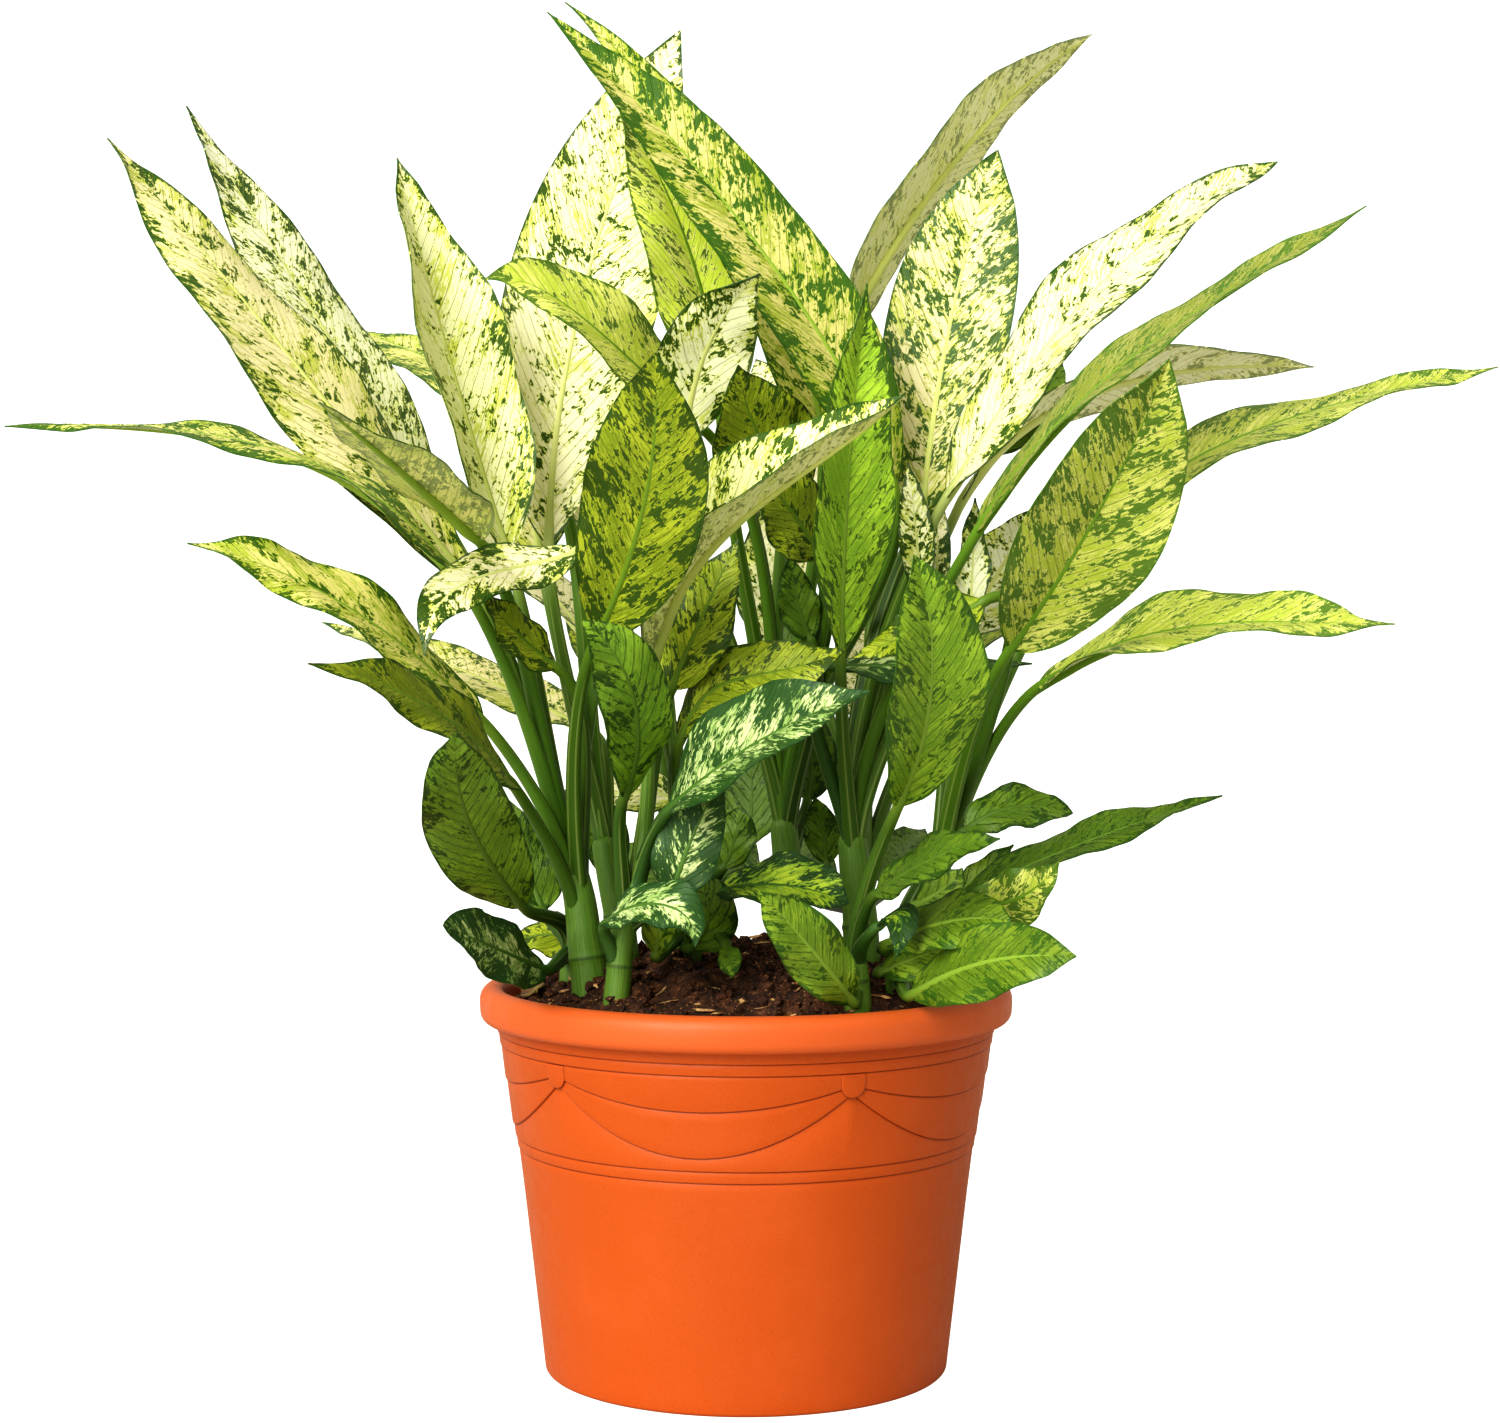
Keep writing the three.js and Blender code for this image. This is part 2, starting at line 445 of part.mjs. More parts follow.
// The cane with its rounded top, grown all round by some clearance to cut its hole
function caneSolid(cane, grown = 0) {
  const buried = cane.foot.clone().setZ(cane.planted - grown);
  const rings = [ringAbout(buried, UP, cane.footRadius + grown, CANE_SIDES)];
  const steps = Math.max(2, Math.round(cane.curve.getLength() / 40));
  for (let i = 0; i <= steps; i += 1) {
    const s = i / steps;
    const radius = THREE.MathUtils.lerp(cane.footRadius, cane.topRadius, s) + grown;
    const along = cane.curve.getTangent(s);
    rings.push(ringAbout(cane.curve.getPoint(s), along, radius, CANE_SIDES));
  }
  const end = cane.curve.getPoint(1);
  const along = cane.curve.getTangent(1);
  const cap = end.clone().addScaledVector(along, cane.topRadius * 0.8 + grown);
  rings.push(ringAbout(cap, along, cane.topRadius * 0.5 + grown, CANE_SIDES));
  return skin(rings);
}

// A leaf's midrib runs through all its points, which are equally spaced along it
function ribPoint(points, u) {
  const n = points.length - 1;
  const out = new THREE.Vector3();
  points.forEach((point, i) => {
    let weight = 1;
    for (let j = 0; j <= n; j += 1) {
      if (j !== i) weight *= (u * n - j) / (i - j);
    }
    out.addScaledVector(point, weight);
  });
  return out;
}

// Steps along each leaf's path, and those among them that get a ring of points
const STALK_STEPS = 16;
const STALK_PLACES = [0, 8, 16];
const RIB_STEPS = 32;
const LARGE_PLACES = [1, 5, 10, 15, 20, 26, 31, 32];
const SMALL_PLACES = [1, 6, 12, 18, 25, 32];

// Places along stalk and midrib, each with the way it runs and the way the upper face looks
function leafPath(leaf, cane) {
  const rib = leaf.rib.map(seen);
  const joint = leaf.at * TOP_JOINT;
  const foot = cane.curve.getPoint(joint);
  const before = cane.curve.getPoint(Math.max(joint - 0.05, 0));
  const after = cane.curve.getPoint(Math.min(joint + 0.03, 1));
  const aim = after.sub(before).normalize();
  const reach = rib[0].distanceTo(foot);
  const leaving = ribPoint(rib, 0.02).sub(rib[0]).normalize();
  const stalk = new THREE.CubicBezierCurve3(
    foot,
    foot.clone().addScaledVector(aim, reach / 3),
    rib[0].clone().addScaledVector(leaving, (-0.8 * reach) / 3),
    rib[0],
  );
  const path = [];
  for (let i = 0; i < STALK_STEPS; i += 1) path.push({ at: stalk.getPoint(i / STALK_STEPS) });
  for (let i = 0; i <= RIB_STEPS; i += 1) path.push({ at: ribPoint(rib, i / RIB_STEPS) });
  path.forEach((place, i) => {
    const next = path[Math.min(i + 1, path.length - 1)].at;
    const last = path[Math.max(i - 1, 0)].at;
    place.along = next.clone().sub(last).normalize();
  });
  const middle = STALK_STEPS + RIB_STEPS / 2;
  const along = path[middle].along;
  let up = squared(TO_VIEWER, along);
  if (up.length() < 0.3) up = squared(UP, along);
  path[middle].up = up.normalize().applyAxisAngle(along, radians(leaf.turn));
  for (let i = middle + 1; i < path.length; i += 1) {
    path[i].up = squared(path[i - 1].up, path[i].along).normalize();
  }
  for (let i = middle - 1; i >= 0; i -= 1) {
    path[i].up = squared(path[i + 1].up, path[i].along).normalize();
  }
  for (const place of path) {
    place.right = new THREE.Vector3().crossVectors(place.along, place.up);
  }
  return path;
}

function squared(vector, along) {
  return vector.clone().addScaledVector(along, -vector.dot(along));
}

function halfWidth(leaf, u) {
  const base = leaf.base ?? BASE_FULLNESS;
  const taper = leaf.taper ?? TIP_TAPER;
  const widest = base / (base + taper);
  const half = (leaf.width / 2) * (u / widest) ** base * ((1 - u) / (1 - widest)) ** taper;
  return Math.max(half, NARROWEST);
}

// Where the blade's margin lies from its midrib: across, and above
function margin(leaf, u, side) {
  const half = halfWidth(leaf, u);
  let across = 0;
  let above = 0;
  for (let i = 0; i < MARGIN_STEPS; i += 1) {
    const droop = ((leaf.droop ?? DROOP_DEG) * (i + 0.5)) / MARGIN_STEPS;
    const slope = radians(leaf.fold - droop);
    across += (Math.cos(slope) * half) / MARGIN_STEPS;
    above += (Math.sin(slope) * half) / MARGIN_STEPS;
  }
  const wave = leaf.wave * Math.sin(2 * Math.PI * WAVES * u + leaf.seed + side);
  above += wave * Math.min(1, half / WAVE_FADE);
  return [side * across, above];
}

// Each ring has the same six points: the left margin, the rib and the right margin of the upper
// face, then the same of the lower face, so both faces are split alike
function leafSolid(leaf, cane) {
  const path = leafPath(leaf, cane);
  const bladePlaces = leaf.width >= LARGE_LEAF ? LARGE_PLACES : SMALL_PLACES;
  const rings = STALK_PLACES.map((i) => {
    const { at, right, up } = path[i];
    const radius = THREE.MathUtils.lerp(STALK_FOOT, STALK_NECK, i / STALK_STEPS);
    return [150, 90, 30, -30, -90, -150].map((deg) => at.clone()
      .addScaledVector(right, radius * Math.cos(radians(deg)))
      .addScaledVector(up, radius * Math.sin(radians(deg))));
  });
  for (const i of bladePlaces) {
    const { at, right, up } = path[STALK_STEPS + i];
    const u = i / RIB_STEPS;
    const place = (across, above) => at.clone()
      .addScaledVector(right, across)
      .addScaledVector(up, above);
    const half = BLADE_THICKNESS / 2;
    const [leftAcross, leftAbove] = margin(leaf, u, -1);
    const [rightAcross, rightAbove] = margin(leaf, u, 1);
    rings.push([
      place(leftAcross, leftAbove + half),
      place(0, half),
      place(rightAcross, rightAbove + half),
      place(rightAcross, rightAbove - half),
      place(0, -half - RIB_DEPTH * (1 - u)),
      place(leftAcross, leftAbove - half),
    ]);
  }
  return skin(rings, 3);
}

// The dry leaf lies flat on one facet of the soil's outer slope
function makeDryLeaf() {
  const rings = [];
  const bearing = radians(DRY_LEAF.bearingDeg);
  const facet = Math.cos(Math.PI / SOIL_SIDES);
  const rise = soilHeight(SOIL_SLOPE_TOP) - SOIL_EDGE;
  const run = (SOIL_RADIUS - SOIL_SLOPE_TOP) * facet;
  const outward = onCircle(run, bearing, -rise).normalize();
  const along = onCircle(1, bearing + Math.PI / 2, 0);
  const up = new THREE.Vector3().crossVectors(outward, along);
  const centre = onCircle(SOIL_RADIUS * facet, bearing, SOIL_EDGE)
    .addScaledVector(outward, -DRY_LEAF.upSlope)
    .addScaledVector(up, CLEARANCE + DRY_LEAF.thickness / 2);
  for (const u of [0, 0.15, 0.35, 0.6, 0.85, 1]) {
    const half = Math.max((DRY_LEAF.width / 2) * Math.sqrt(Math.sin(Math.PI * u)), NARROWEST);
    const lift = DRY_LEAF.curl * (2 * u - 1) ** 2;
    const at = centre.clone()
      .addScaledVector(along, DRY_LEAF.length * (u - 0.5))
      .addScaledVector(up, lift);
    const ring = [[-1, 1], [0, 1], [1, 1], [1, -1], [0, -1], [-1, -1]].map(([side, face]) => at.clone()
      .addScaledVector(outward, side * half)
      .addScaledVector(up, (face * DRY_LEAF.thickness) / 2 + DRY_LEAF.curl * side * side * 0.6));
    rings.push(ring);
  }
  return skin(rings, 3);
}

// Joined leaves can seal a tiny hollow between them: only the outer skin is kept, which fills it
function outerBody(body) {
  return body.decompose().reduce((best, one) => (one.volume() > best.volume() ? one : best));
}

function mesh(name, body, colour, roughness) {
  const { numProp, vertProperties, triVerts } = body.getMesh();
  const geometry = new THREE.BufferGeometry();
  const position = new Float32Array((vertProperties.length / numProp) * 3);
  for (let i = 0; i < position.length / 3; i += 1) {
    position.set(vertProperties.subarray(i * numProp, i * numProp + 3), i * 3);
  }
  geometry.setAttribute("position", new THREE.BufferAttribute(position, 3));
  geometry.setIndex(new THREE.BufferAttribute(new Uint32Array(triVerts), 1));
  geometry.computeVertexNormals();
  const material = new THREE.MeshStandardMaterial({ color: colour, roughness, metalness: 0 });
  const made = new THREE.Mesh(geometry, material);
  made.name = name;
  return made;
}

const plant = new THREE.Group();
plant.name = "potted_dieffenbachia";

const canes = {};
for (const [name, data] of Object.entries(shootData)) canes[name] = makeCane(data);
leafData.forEach((leaf, i) => {
  leaf.seed = i * 1.7;
});

plant.add(mesh("pot", makePot(), 0xd8602c, 0.5));
plant.add(mesh("soil", makeSoil(Object.values(canes)), 0x3a2a20, 0.95));
plant.add(mesh("dry_leaf", makeDryLeaf(), 0x7a3a24, 0.7));
for (const [name, cane] of Object.entries(canes)) {
  let body = caneSolid(cane);
  for (const leaf of leafData) {
    if (leaf.on === name) body = body.add(leafSolid(leaf, cane));
  }
  plant.add(mesh(`leafy_stem_${name}`, outerBody(body), shootData[name].colour, 0.45));
}

export default plant;
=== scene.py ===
import math
import random

import bpy
import numpy as np
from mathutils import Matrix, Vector


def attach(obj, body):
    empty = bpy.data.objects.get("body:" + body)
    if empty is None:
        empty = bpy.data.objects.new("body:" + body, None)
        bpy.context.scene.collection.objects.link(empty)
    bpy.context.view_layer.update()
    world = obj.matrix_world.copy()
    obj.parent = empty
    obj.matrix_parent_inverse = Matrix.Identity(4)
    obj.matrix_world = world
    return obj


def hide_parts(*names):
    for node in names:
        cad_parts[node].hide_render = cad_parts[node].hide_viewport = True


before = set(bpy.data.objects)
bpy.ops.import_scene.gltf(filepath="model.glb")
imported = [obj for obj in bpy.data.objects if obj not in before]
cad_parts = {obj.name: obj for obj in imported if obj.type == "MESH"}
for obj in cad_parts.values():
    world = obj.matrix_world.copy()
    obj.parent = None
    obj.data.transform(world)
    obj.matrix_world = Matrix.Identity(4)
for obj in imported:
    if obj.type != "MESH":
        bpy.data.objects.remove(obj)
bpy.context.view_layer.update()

bl_info = {
    "name": "Potted dieffenbachia",
    "version": (1, 0, 0),
    "blender": (4, 5, 0),
    "location": "3D View > Sidebar > Plant",
    "description": "A variegated dieffenbachia in a garlanded plastic pot, with its soil and studio stage",
    "category": "Add Mesh",
}

MM = 0.001

# Places are in millimetres as (across, height, depth): across and height as they look on the pot's
# middle plane to an eye in front of the plant, and the real depth behind that plane
EYE_DISTANCE = 1492
EYE_ACROSS = 2
EYE_HEIGHT = 383
EYE_PITCH_DEG = 1.89
LENS_MM = 70.6
SENSOR_MM = 36


def cane_of(foot, top, *points):
    """A cane's radius at foot and top, and the places that its middle line goes through."""
    return dict(foot=foot, top=top, points=points)


def leaf_on(on, at, width, turn, fold, wave, look, *rib, **more):
    """A leaf: its cane, the share of the cane's height at which it leaves it, its blade's width, its turn
    about the midrib and its fold in degrees, the height of its waves, its look and its midrib's places."""
    return dict(on=on, at=at, width=width, turn=turn, fold=fold, wave=wave, look=look, rib=rib, **more)


# A leaf's number in this list seeds its own markings, so the order stays. More may be given: base and
# taper for a blade's fullness towards its foot and tip, droop for how far its halves bend down in
# degrees, and flecks and shade for how many flecks more and how light. A leaf's shade is partly its own
# lightness and partly painted light and shade, lightening some leaves that lie in shadow and darkening
# some in full light
SHOOTS = {
    "left_cane": cane_of(9.5, 7.0, (-79, 194, -49), (-82, 217, -47), (-85, 240, -45), (-91, 263, -43)),
    "left_low": cane_of(6.0, 5.0, (-89, 198, -20), (-89, 213, -20)),
    "left_back": cane_of(8.0, 6.5, (-62, 207, 0), (-64, 225, 2), (-68, 245, 4), (-72, 266, 6)),
    "back_left": cane_of(6.0, 5.0, (-68, 209, 45), (-62, 238, 50)),
    "front_left": cane_of(6.5, 5.0, (-66, 187, -82), (-63, 215, -81), (-56, 245, -79)),
    "middle": cane_of(7.0, 5.5, (-29, 206, -20), (-29, 230, -22)),
    "rear_middle": cane_of(9.0, 7.0, (22, 216, 40), (22, 235, 40), (21, 256, 41), (19, 276, 42)),
    "right_cane": cane_of(9.5, 7.5, (59, 207, -12), (58, 228, -10), (56, 248, -8), (54, 268, -6)),
    "right_side": cane_of(8.0, 6.5, (91, 194, -9), (92, 215, -11), (95, 235, -13)),
    "front_right": cane_of(6.5, 5.5, (57, 186, -90), (56, 205, -90)),
    "right_low": cane_of(7.0, 5.5, (78, 189, -56), (77, 210, -56)),
    "rear_left": cane_of(7.5, 6.5, (-32, 216, 85), (-33, 238, 90)),
    "rear_right": cane_of(7.5, 6.5, (58, 212, 70), (59, 235, 75)),
}
LEAVES = [
    leaf_on("left_cane", 1.0, 72, 59, 2, 3, "butter",
            (-141, 400, -45), (-234, 517, -60), (-322, 623, -40), shade=0.91),
    leaf_on("left_cane", 0.95, 70, 61, 5, 2, "cream",
            (-149, 423, -20), (-216, 531, -5), (-282, 639, 20), flecks=0.03, shade=1.2),
    leaf_on("left_cane", 0.9, 50, 80, 6, 3, "gold",
            (-144, 398, -75), (-204, 452, -95), (-281, 475, -110), (-375, 478, -115),
            flecks=0.04, shade=0.9),
    leaf_on("left_cane", 0.85, 54, 121, 14, 2, "gold",
            (-136, 421, -85), (-171, 453, -150), (-216, 490, -230), flecks=0.04, shade=1.2),
    leaf_on("left_cane", 0.5, 53, 68, 12, 3, "gold",
            (-133, 328, -80), (-203, 387, -130), (-283, 419, -170), shade=1.1),
    leaf_on("left_cane", 0.3, 42, 66, 12, 3, "olive",
            (-118, 296, -85), (-160, 335, -145), (-222, 358, -200), base=0.55, flecks=-0.02, shade=0.72),
    leaf_on("left_cane", 0.8, 68, 48, 12, 3, "butter",
            (-120, 411, -30), (-152, 519, -20), (-176, 613, -10), droop=-35, flecks=-0.02, shade=1.12),
    leaf_on("left_cane", 0.35, 60, -12, 10, 2, "olive",
            (-76, 370, -105), (-51, 441, -152), (-46, 515, -192), taper=0.8, flecks=0.06, shade=0.92),
    leaf_on("left_cane", 0.7, 34, 40, 8, 2, "cream",
            (-84, 416, -65), (-115, 407, -85), (-148, 395, -110), (-163, 362, -130)),
    leaf_on("left_cane", 0.5, 26, 45, 8, 2, "olive",
            (-96, 356, -65), (-117, 374, -80), (-134, 394, -95)),
    leaf_on("left_low", 1.0, 43, 10, 8, 2, "dark",
            (-113, 234, -75), (-141, 278, -140), (-147, 323, -185), base=0.6, taper=0.75, shade=1.3),
    leaf_on("left_low", 0.9, 34, 20, 8, 2, "dark",
            (-103, 232, -5), (-112, 256, 5), (-125, 294, 10)),
    leaf_on("left_low", 0.5, 35, 55, 8, 2, "streaked",
            (-102, 202, -56), (-125, 212, -105), (-154, 225, -160), taper=0.7),
    leaf_on("left_back", 0.8, 50, 68, 8, 2, "butter",
            (-79, 324, 45), (-148, 356, 115), (-215, 379, 185)),
    leaf_on("left_back", 1.0, 80, 8, 6, 2, "cream",
            (-100, 417, 0), (-82, 547, 40), (-33, 677, 75),
            base=0.85, taper=0.85, flecks=-0.015, shade=1.05),
    leaf_on("left_back", 0.95, 60, 20, 8, 2, "butter",
            (-104, 411, 30), (-113, 481, 65), (-114, 542, 105)),
    leaf_on("left_back", 0.9, 56, 60, 8, 2, "gold",
            (-109, 476, 60), (-155, 509, 120), (-208, 529, 190), flecks=0.03),
    leaf_on("back_left", 1.0, 44, 60, 8, 2, "cream",
            (-34, 289, 60), (-74, 291, 65), (-119, 273, 80)),
    leaf_on("back_left", 0.5, 30, 50, 8, 2, "olive",
            (-79, 212, 40), (-100, 220, 40), (-119, 215, 45)),
    leaf_on("front_left", 0.9, 62, -64, 50, 2, "butter",
            (-46, 360, -80), (-19, 416, -112), (30, 456, -145), (81, 495, -165), shade=1.1),
    leaf_on("front_left", 0.8, 38, -25, 8, 2, "olive",
            (-38, 345, -60), (-23, 380, -65), (-4, 421, -60)),
    leaf_on("front_left", 1.0, 53, -48, 28, 2, "streaked",
            (-39, 284, -108), (6, 318, -150), (63, 344, -180), shade=0.97),
    leaf_on("front_left", 0.2, 32, -50, 12, 2, "streaked",
            (-72, 225, -92), (-54, 235, -114), (-34, 232, -126), (-26, 214, -131)),
    leaf_on("front_left", 0.5, 38, 30, 10, 2, "dark",
            (-62, 290, -98), (-55, 322, -122), (-62, 354, -140), (-83, 380, -150), taper=0.8, shade=1.3),
    leaf_on("middle", 1.0, 36, -28, 10, 2, "olive",
            (-34, 318, -55), (-16, 345, -66), (10, 353, -76), (50, 365, -85), taper=0.7),
    leaf_on("front_left", 0.6, 32, -10, 8, 2, "streaked",
            (-38, 239, -96), (-28, 268, -102), (-11, 304, -98)),
    leaf_on("middle", 0.8, 22, -20, 8, 2, "dark",
            (-12, 254, -50), (-6, 268, -52), (-4, 285, -50), taper=0.6),
    leaf_on("middle", 0.7, 38, -54, 20, 2, "striped",
            (-15, 242, -60), (19, 245, -78), (52, 236, -90), base=0.7, taper=0.7, flecks=-0.02, shade=1.1),
    leaf_on("middle", 0.4, 30, -10, 8, 2, "dark",
            (-29, 213, -45), (-19, 230, -58), (-27, 250, -60), base=0.6, taper=0.6),
    leaf_on("middle", 0.6, 12, 0, 8, 1, "dark",
            (-10, 215, -66), (-8, 206, -88), (-7, 198, -100)),
    leaf_on("rear_middle", 0.95, 66, 36, 15, 2, "bright",
            (-13, 486, 10), (-29, 567, 10), (-66, 643, 10), flecks=0.0, shade=1.6),
    leaf_on("rear_middle", 1.0, 58, 30, 20, 2, "gold",
            (75, 447, -15), (34, 529, -25), (-32, 616, -30), (-100, 686, -20),
            taper=1.1, flecks=0.035, shade=0.86),
    leaf_on("rear_middle", 0.9, 52, 30, 20, 2, "gold",
            (38, 475, 15), (15, 544, 15), (-33, 627, 20), (-91, 691, 25), base=0.5, taper=1.2),
    leaf_on("rear_middle", 0.85, 50, 49, 24, 2, "bright",
            (-21, 476, -22), (-48, 501, -45), (-75, 526, -68), (-104, 547, -85), (-132, 552, -95),
            flecks=0.0, shade=1.12),
    leaf_on("rear_middle", 0.8, 46, 15, 10, 2, "cream",
            (-31, 471, -35), (-19, 519, -60), (7, 555, -90), flecks=0.01, shade=1.08),
    leaf_on("rear_middle", 0.9, 58, 15, 10, 2, "olive",
            (31, 441, -12), (7, 472, -35), (-4, 509, -60), shade=1.0),
    leaf_on("rear_middle", 0.8, 40, 25, 10, 2, "olive",
            (38, 412, -10), (22, 436, -30), (2, 460, -50)),
    leaf_on("rear_middle", 0.7, 22, 10, 10, 2, "dark",
            (33, 370, 10), (26, 390, 5), (22, 414, 0)),
    leaf_on("rear_middle", 0.6, 32, 10, 10, 2, "cream",
            (11, 370, 60), (9, 400, 65), (7, 438, 70)),
    leaf_on("rear_middle", 0.92, 64, -114, 10, 2, "butter",
            (40, 509, 60), (105, 612, 105), (174, 675, 165), flecks=0.02, shade=1.28),
    leaf_on("right_cane", 0.95, 66, -15, 12, 2, "butter",
            (89, 431, 0), (103, 529, 15), (127, 617, 30), taper=0.8, flecks=0.04, shade=0.78),
    leaf_on("right_cane", 0.9, 66, -60, 12, 3, "cream",
            (101, 441, -20), (145, 509, -30), (199, 568, -25), (268, 611, -10),
            taper=0.8, flecks=-0.01, shade=0.82),
    leaf_on("right_cane", 0.85, 55, -76, 12, 2, "bright",
            (116, 423, -60), (170, 491, -90), (239, 543, -110), (313, 589, -120), flecks=0.06, shade=0.52),
    leaf_on("right_cane", 0.9, 54, -114, 8, 2, "cream",
            (108, 438, 30), (154, 486, 75), (220, 506, 115), (287, 508, 140), flecks=-0.02, shade=1.2),
    leaf_on("right_cane", 1.0, 40, -40, 8, 2, "dark",
            (108, 456, 65), (139, 486, 105), (160, 512, 140), shade=1.1),
    leaf_on("right_cane", 0.6, 50, 37, 21, 2, "plain",
            (48, 365, -50), (52, 456, -65), (61, 550, -60), shade=1.6),
    leaf_on("right_cane", 0.8, 18, -10, 10, 1, "cream",
            (89, 390, -15), (86, 426, -20), (82, 460, -20)),
    leaf_on("right_cane", 0.7, 14, -10, 8, 1, "cream",
            (96, 390, -8), (97, 418, 0), (97, 446, 10)),
    leaf_on("right_side", 1.0, 68, 8, 26, 2, "bright",
            (134, 365, -95), (179, 436, -155), (214, 512, -210), taper=0.85, flecks=0.09, shade=0.92),
    leaf_on("right_side", 0.95, 58, -70, 10, 3, "bright",
            (167, 411, -10), (228, 462, 10), (302, 490, 35), (380, 508, 50), flecks=0.03, shade=0.93),
    leaf_on("right_side", 0.9, 57, -66, 17, 3, "bright",
            (147, 345, -50), (203, 372, -90), (266, 379, -120), (329, 378, -135), flecks=0.03, shade=0.93),
    leaf_on("right_cane", 0.75, 32, -60, 8, 2, "streaked",
            (43, 357, -35), (93, 357, -38), (145, 358, -26), flecks=0.02),
    leaf_on("right_side", 0.95, 46, -20, 8, 2, "cream",
            (111, 370, 30), (129, 406, 70), (151, 438, 105), shade=1.2),
    leaf_on("right_side", 0.9, 22, -40, 8, 2, "cream",
            (113, 370, 0), (115, 406, 10), (116, 442, 15), shade=1.1),
    leaf_on("right_side", 0.85, 30, 40, 8, 2, "olive",
            (121, 390, -72), (91, 376, -76), (54, 361, -76)),
    leaf_on("front_right", 1.0, 53, 26, 22, 2, "plain",
            (77, 285, -115), (94, 348, -160), (85, 413, -185), taper=0.85, shade=1.15),
    leaf_on("front_right", 0.8, 29, -58, 10, 2, "dark",
            (65, 240, -108), (95, 259, -135), (129, 269, -155), shade=0.85),
    leaf_on("front_right", 0.9, 20, -30, 10, 1, "striped",
            (66, 224, -108), (78, 229, -116), (76, 208, -122)),
    leaf_on("front_right", 0.3, 31, 15, 8, 2, "plain",
            (55, 185, -100), (34, 212, -130), (7, 242, -150), taper=0.8, shade=0.92),
    leaf_on("right_low", 0.9, 36, -70, 12, 2, "dark",
            (106, 238, -62), (172, 267, -85), (242, 291, -105), shade=0.72),
    leaf_on("right_low", 0.8, 30, -30, 8, 2, "bright",
            (110, 234, -75), (139, 239, -95), (159, 257, -110), flecks=0.08, shade=1.0),
    leaf_on("right_low", 0.9, 14, -40, 8, 2, "plain",
            (104, 238, -50), (121, 253, -50), (136, 266, -50), shade=0.8),
    leaf_on("right_low", 1.0, 20, -20, 8, 1, "plain",
            (86, 235, -65), (101, 244, -70), (110, 254, -72), shade=0.8),
    leaf_on("right_low", 0.7, 32, -45, 8, 2, "plain",
            (71, 215, -88), (104, 227, -115), (135, 227, -135), taper=0.8, shade=0.75),
    leaf_on("right_low", 0.4, 37, -35, 8, 2, "plain",
            (84, 189, -98), (122, 206, -145), (168, 209, -180), taper=0.85, shade=0.68),
    leaf_on("right_low", 0.5, 26, -40, 8, 1, "plain",
            (68, 201, -75), (91, 210, -82), (117, 217, -85)),
    leaf_on("rear_middle", 0.5, 28, 10, 10, 2, "dark",
            (31, 288, 66), (33, 311, 70), (30, 337, 72), taper=0.8),
    leaf_on("rear_right", 0.4, 20, -10, 10, 1, "dark",
            (41, 256, 26), (39, 272, 22), (35, 290, 16), taper=0.8),
    leaf_on("back_left", 0.7, 24, 10, 10, 1, "dark",
            (-66, 248, 30), (-71, 269, 34), (-71, 291, 36), taper=0.8),
    leaf_on("middle", 0.5, 18, -10, 8, 1, "plain",
            (-46, 210, -62), (-44, 224, -70), (-43, 239, -74), taper=0.8),
    leaf_on("rear_middle", 0.3, 34, -15, 10, 2, "dark",
            (-1, 263, 62), (3, 289, 78), (1, 317, 88), taper=0.8),
    leaf_on("rear_left", 0.5, 34, 10, 10, 2, "olive",
            (-40, 289, 100), (-48, 317, 118), (-46, 345, 130), taper=0.8),
    leaf_on("rear_right", 0.5, 40, -10, 10, 2, "dark",
            (30, 334, 112), (19, 370, 130), (10, 411, 146), taper=0.8),
    leaf_on("rear_left", 1.0, 58, 80, 8, 2, "cream",
            (-74, 411, 125), (-122, 499, 200), (-160, 547, 265)),
    leaf_on("rear_left", 0.95, 56, 20, 8, 2, "cream",
            (-44, 390, 150), (-56, 476, 225), (-69, 527, 290)),
    leaf_on("rear_left", 0.9, 50, 70, 8, 2, "cream",
            (-79, 370, 140), (-115, 411, 200), (-145, 438, 255)),
    leaf_on("rear_left", 0.8, 44, 40, 8, 2, "olive",
            (-46, 324, 160), (-69, 365, 230), (-92, 388, 290)),
    leaf_on("rear_left", 0.6, 32, 30, 8, 2, "dark",
            (-41, 243, 125), (-54, 258, 170), (-68, 262, 212)),
    leaf_on("rear_left", 0.7, 30, -15, 8, 2, "dark",
            (-13, 238, 130), (-6, 259, 175), (-1, 271, 220)),
    leaf_on("rear_right", 1.0, 56, -70, 8, 2, "cream",
            (68, 411, 120), (93, 491, 180), (121, 542, 240)),
    leaf_on("rear_right", 0.95, 54, 0, 8, 2, "cream",
            (27, 390, 145), (17, 471, 215), (5, 512, 280)),
    leaf_on("rear_right", 0.9, 50, -75, 8, 2, "olive",
            (103, 350, 130), (144, 395, 190), (182, 426, 250)),
    leaf_on("rear_right", 0.8, 44, -20, 8, 2, "cream",
            (60, 324, 160), (68, 362, 230), (78, 390, 290)),
    leaf_on("rear_right", 0.6, 34, -30, 8, 2, "dark",
            (71, 243, 115), (81, 263, 165), (91, 274, 210)),
    leaf_on("rear_right", 0.5, 30, 15, 8, 2, "dark",
            (38, 238, 120), (31, 258, 170), (26, 271, 215)),
    leaf_on("right_low", 1.0, 28, -45, 8, 2, "dark",
            (110, 272, -58), (135, 285, -56), (166, 282, -50), taper=0.7),
]

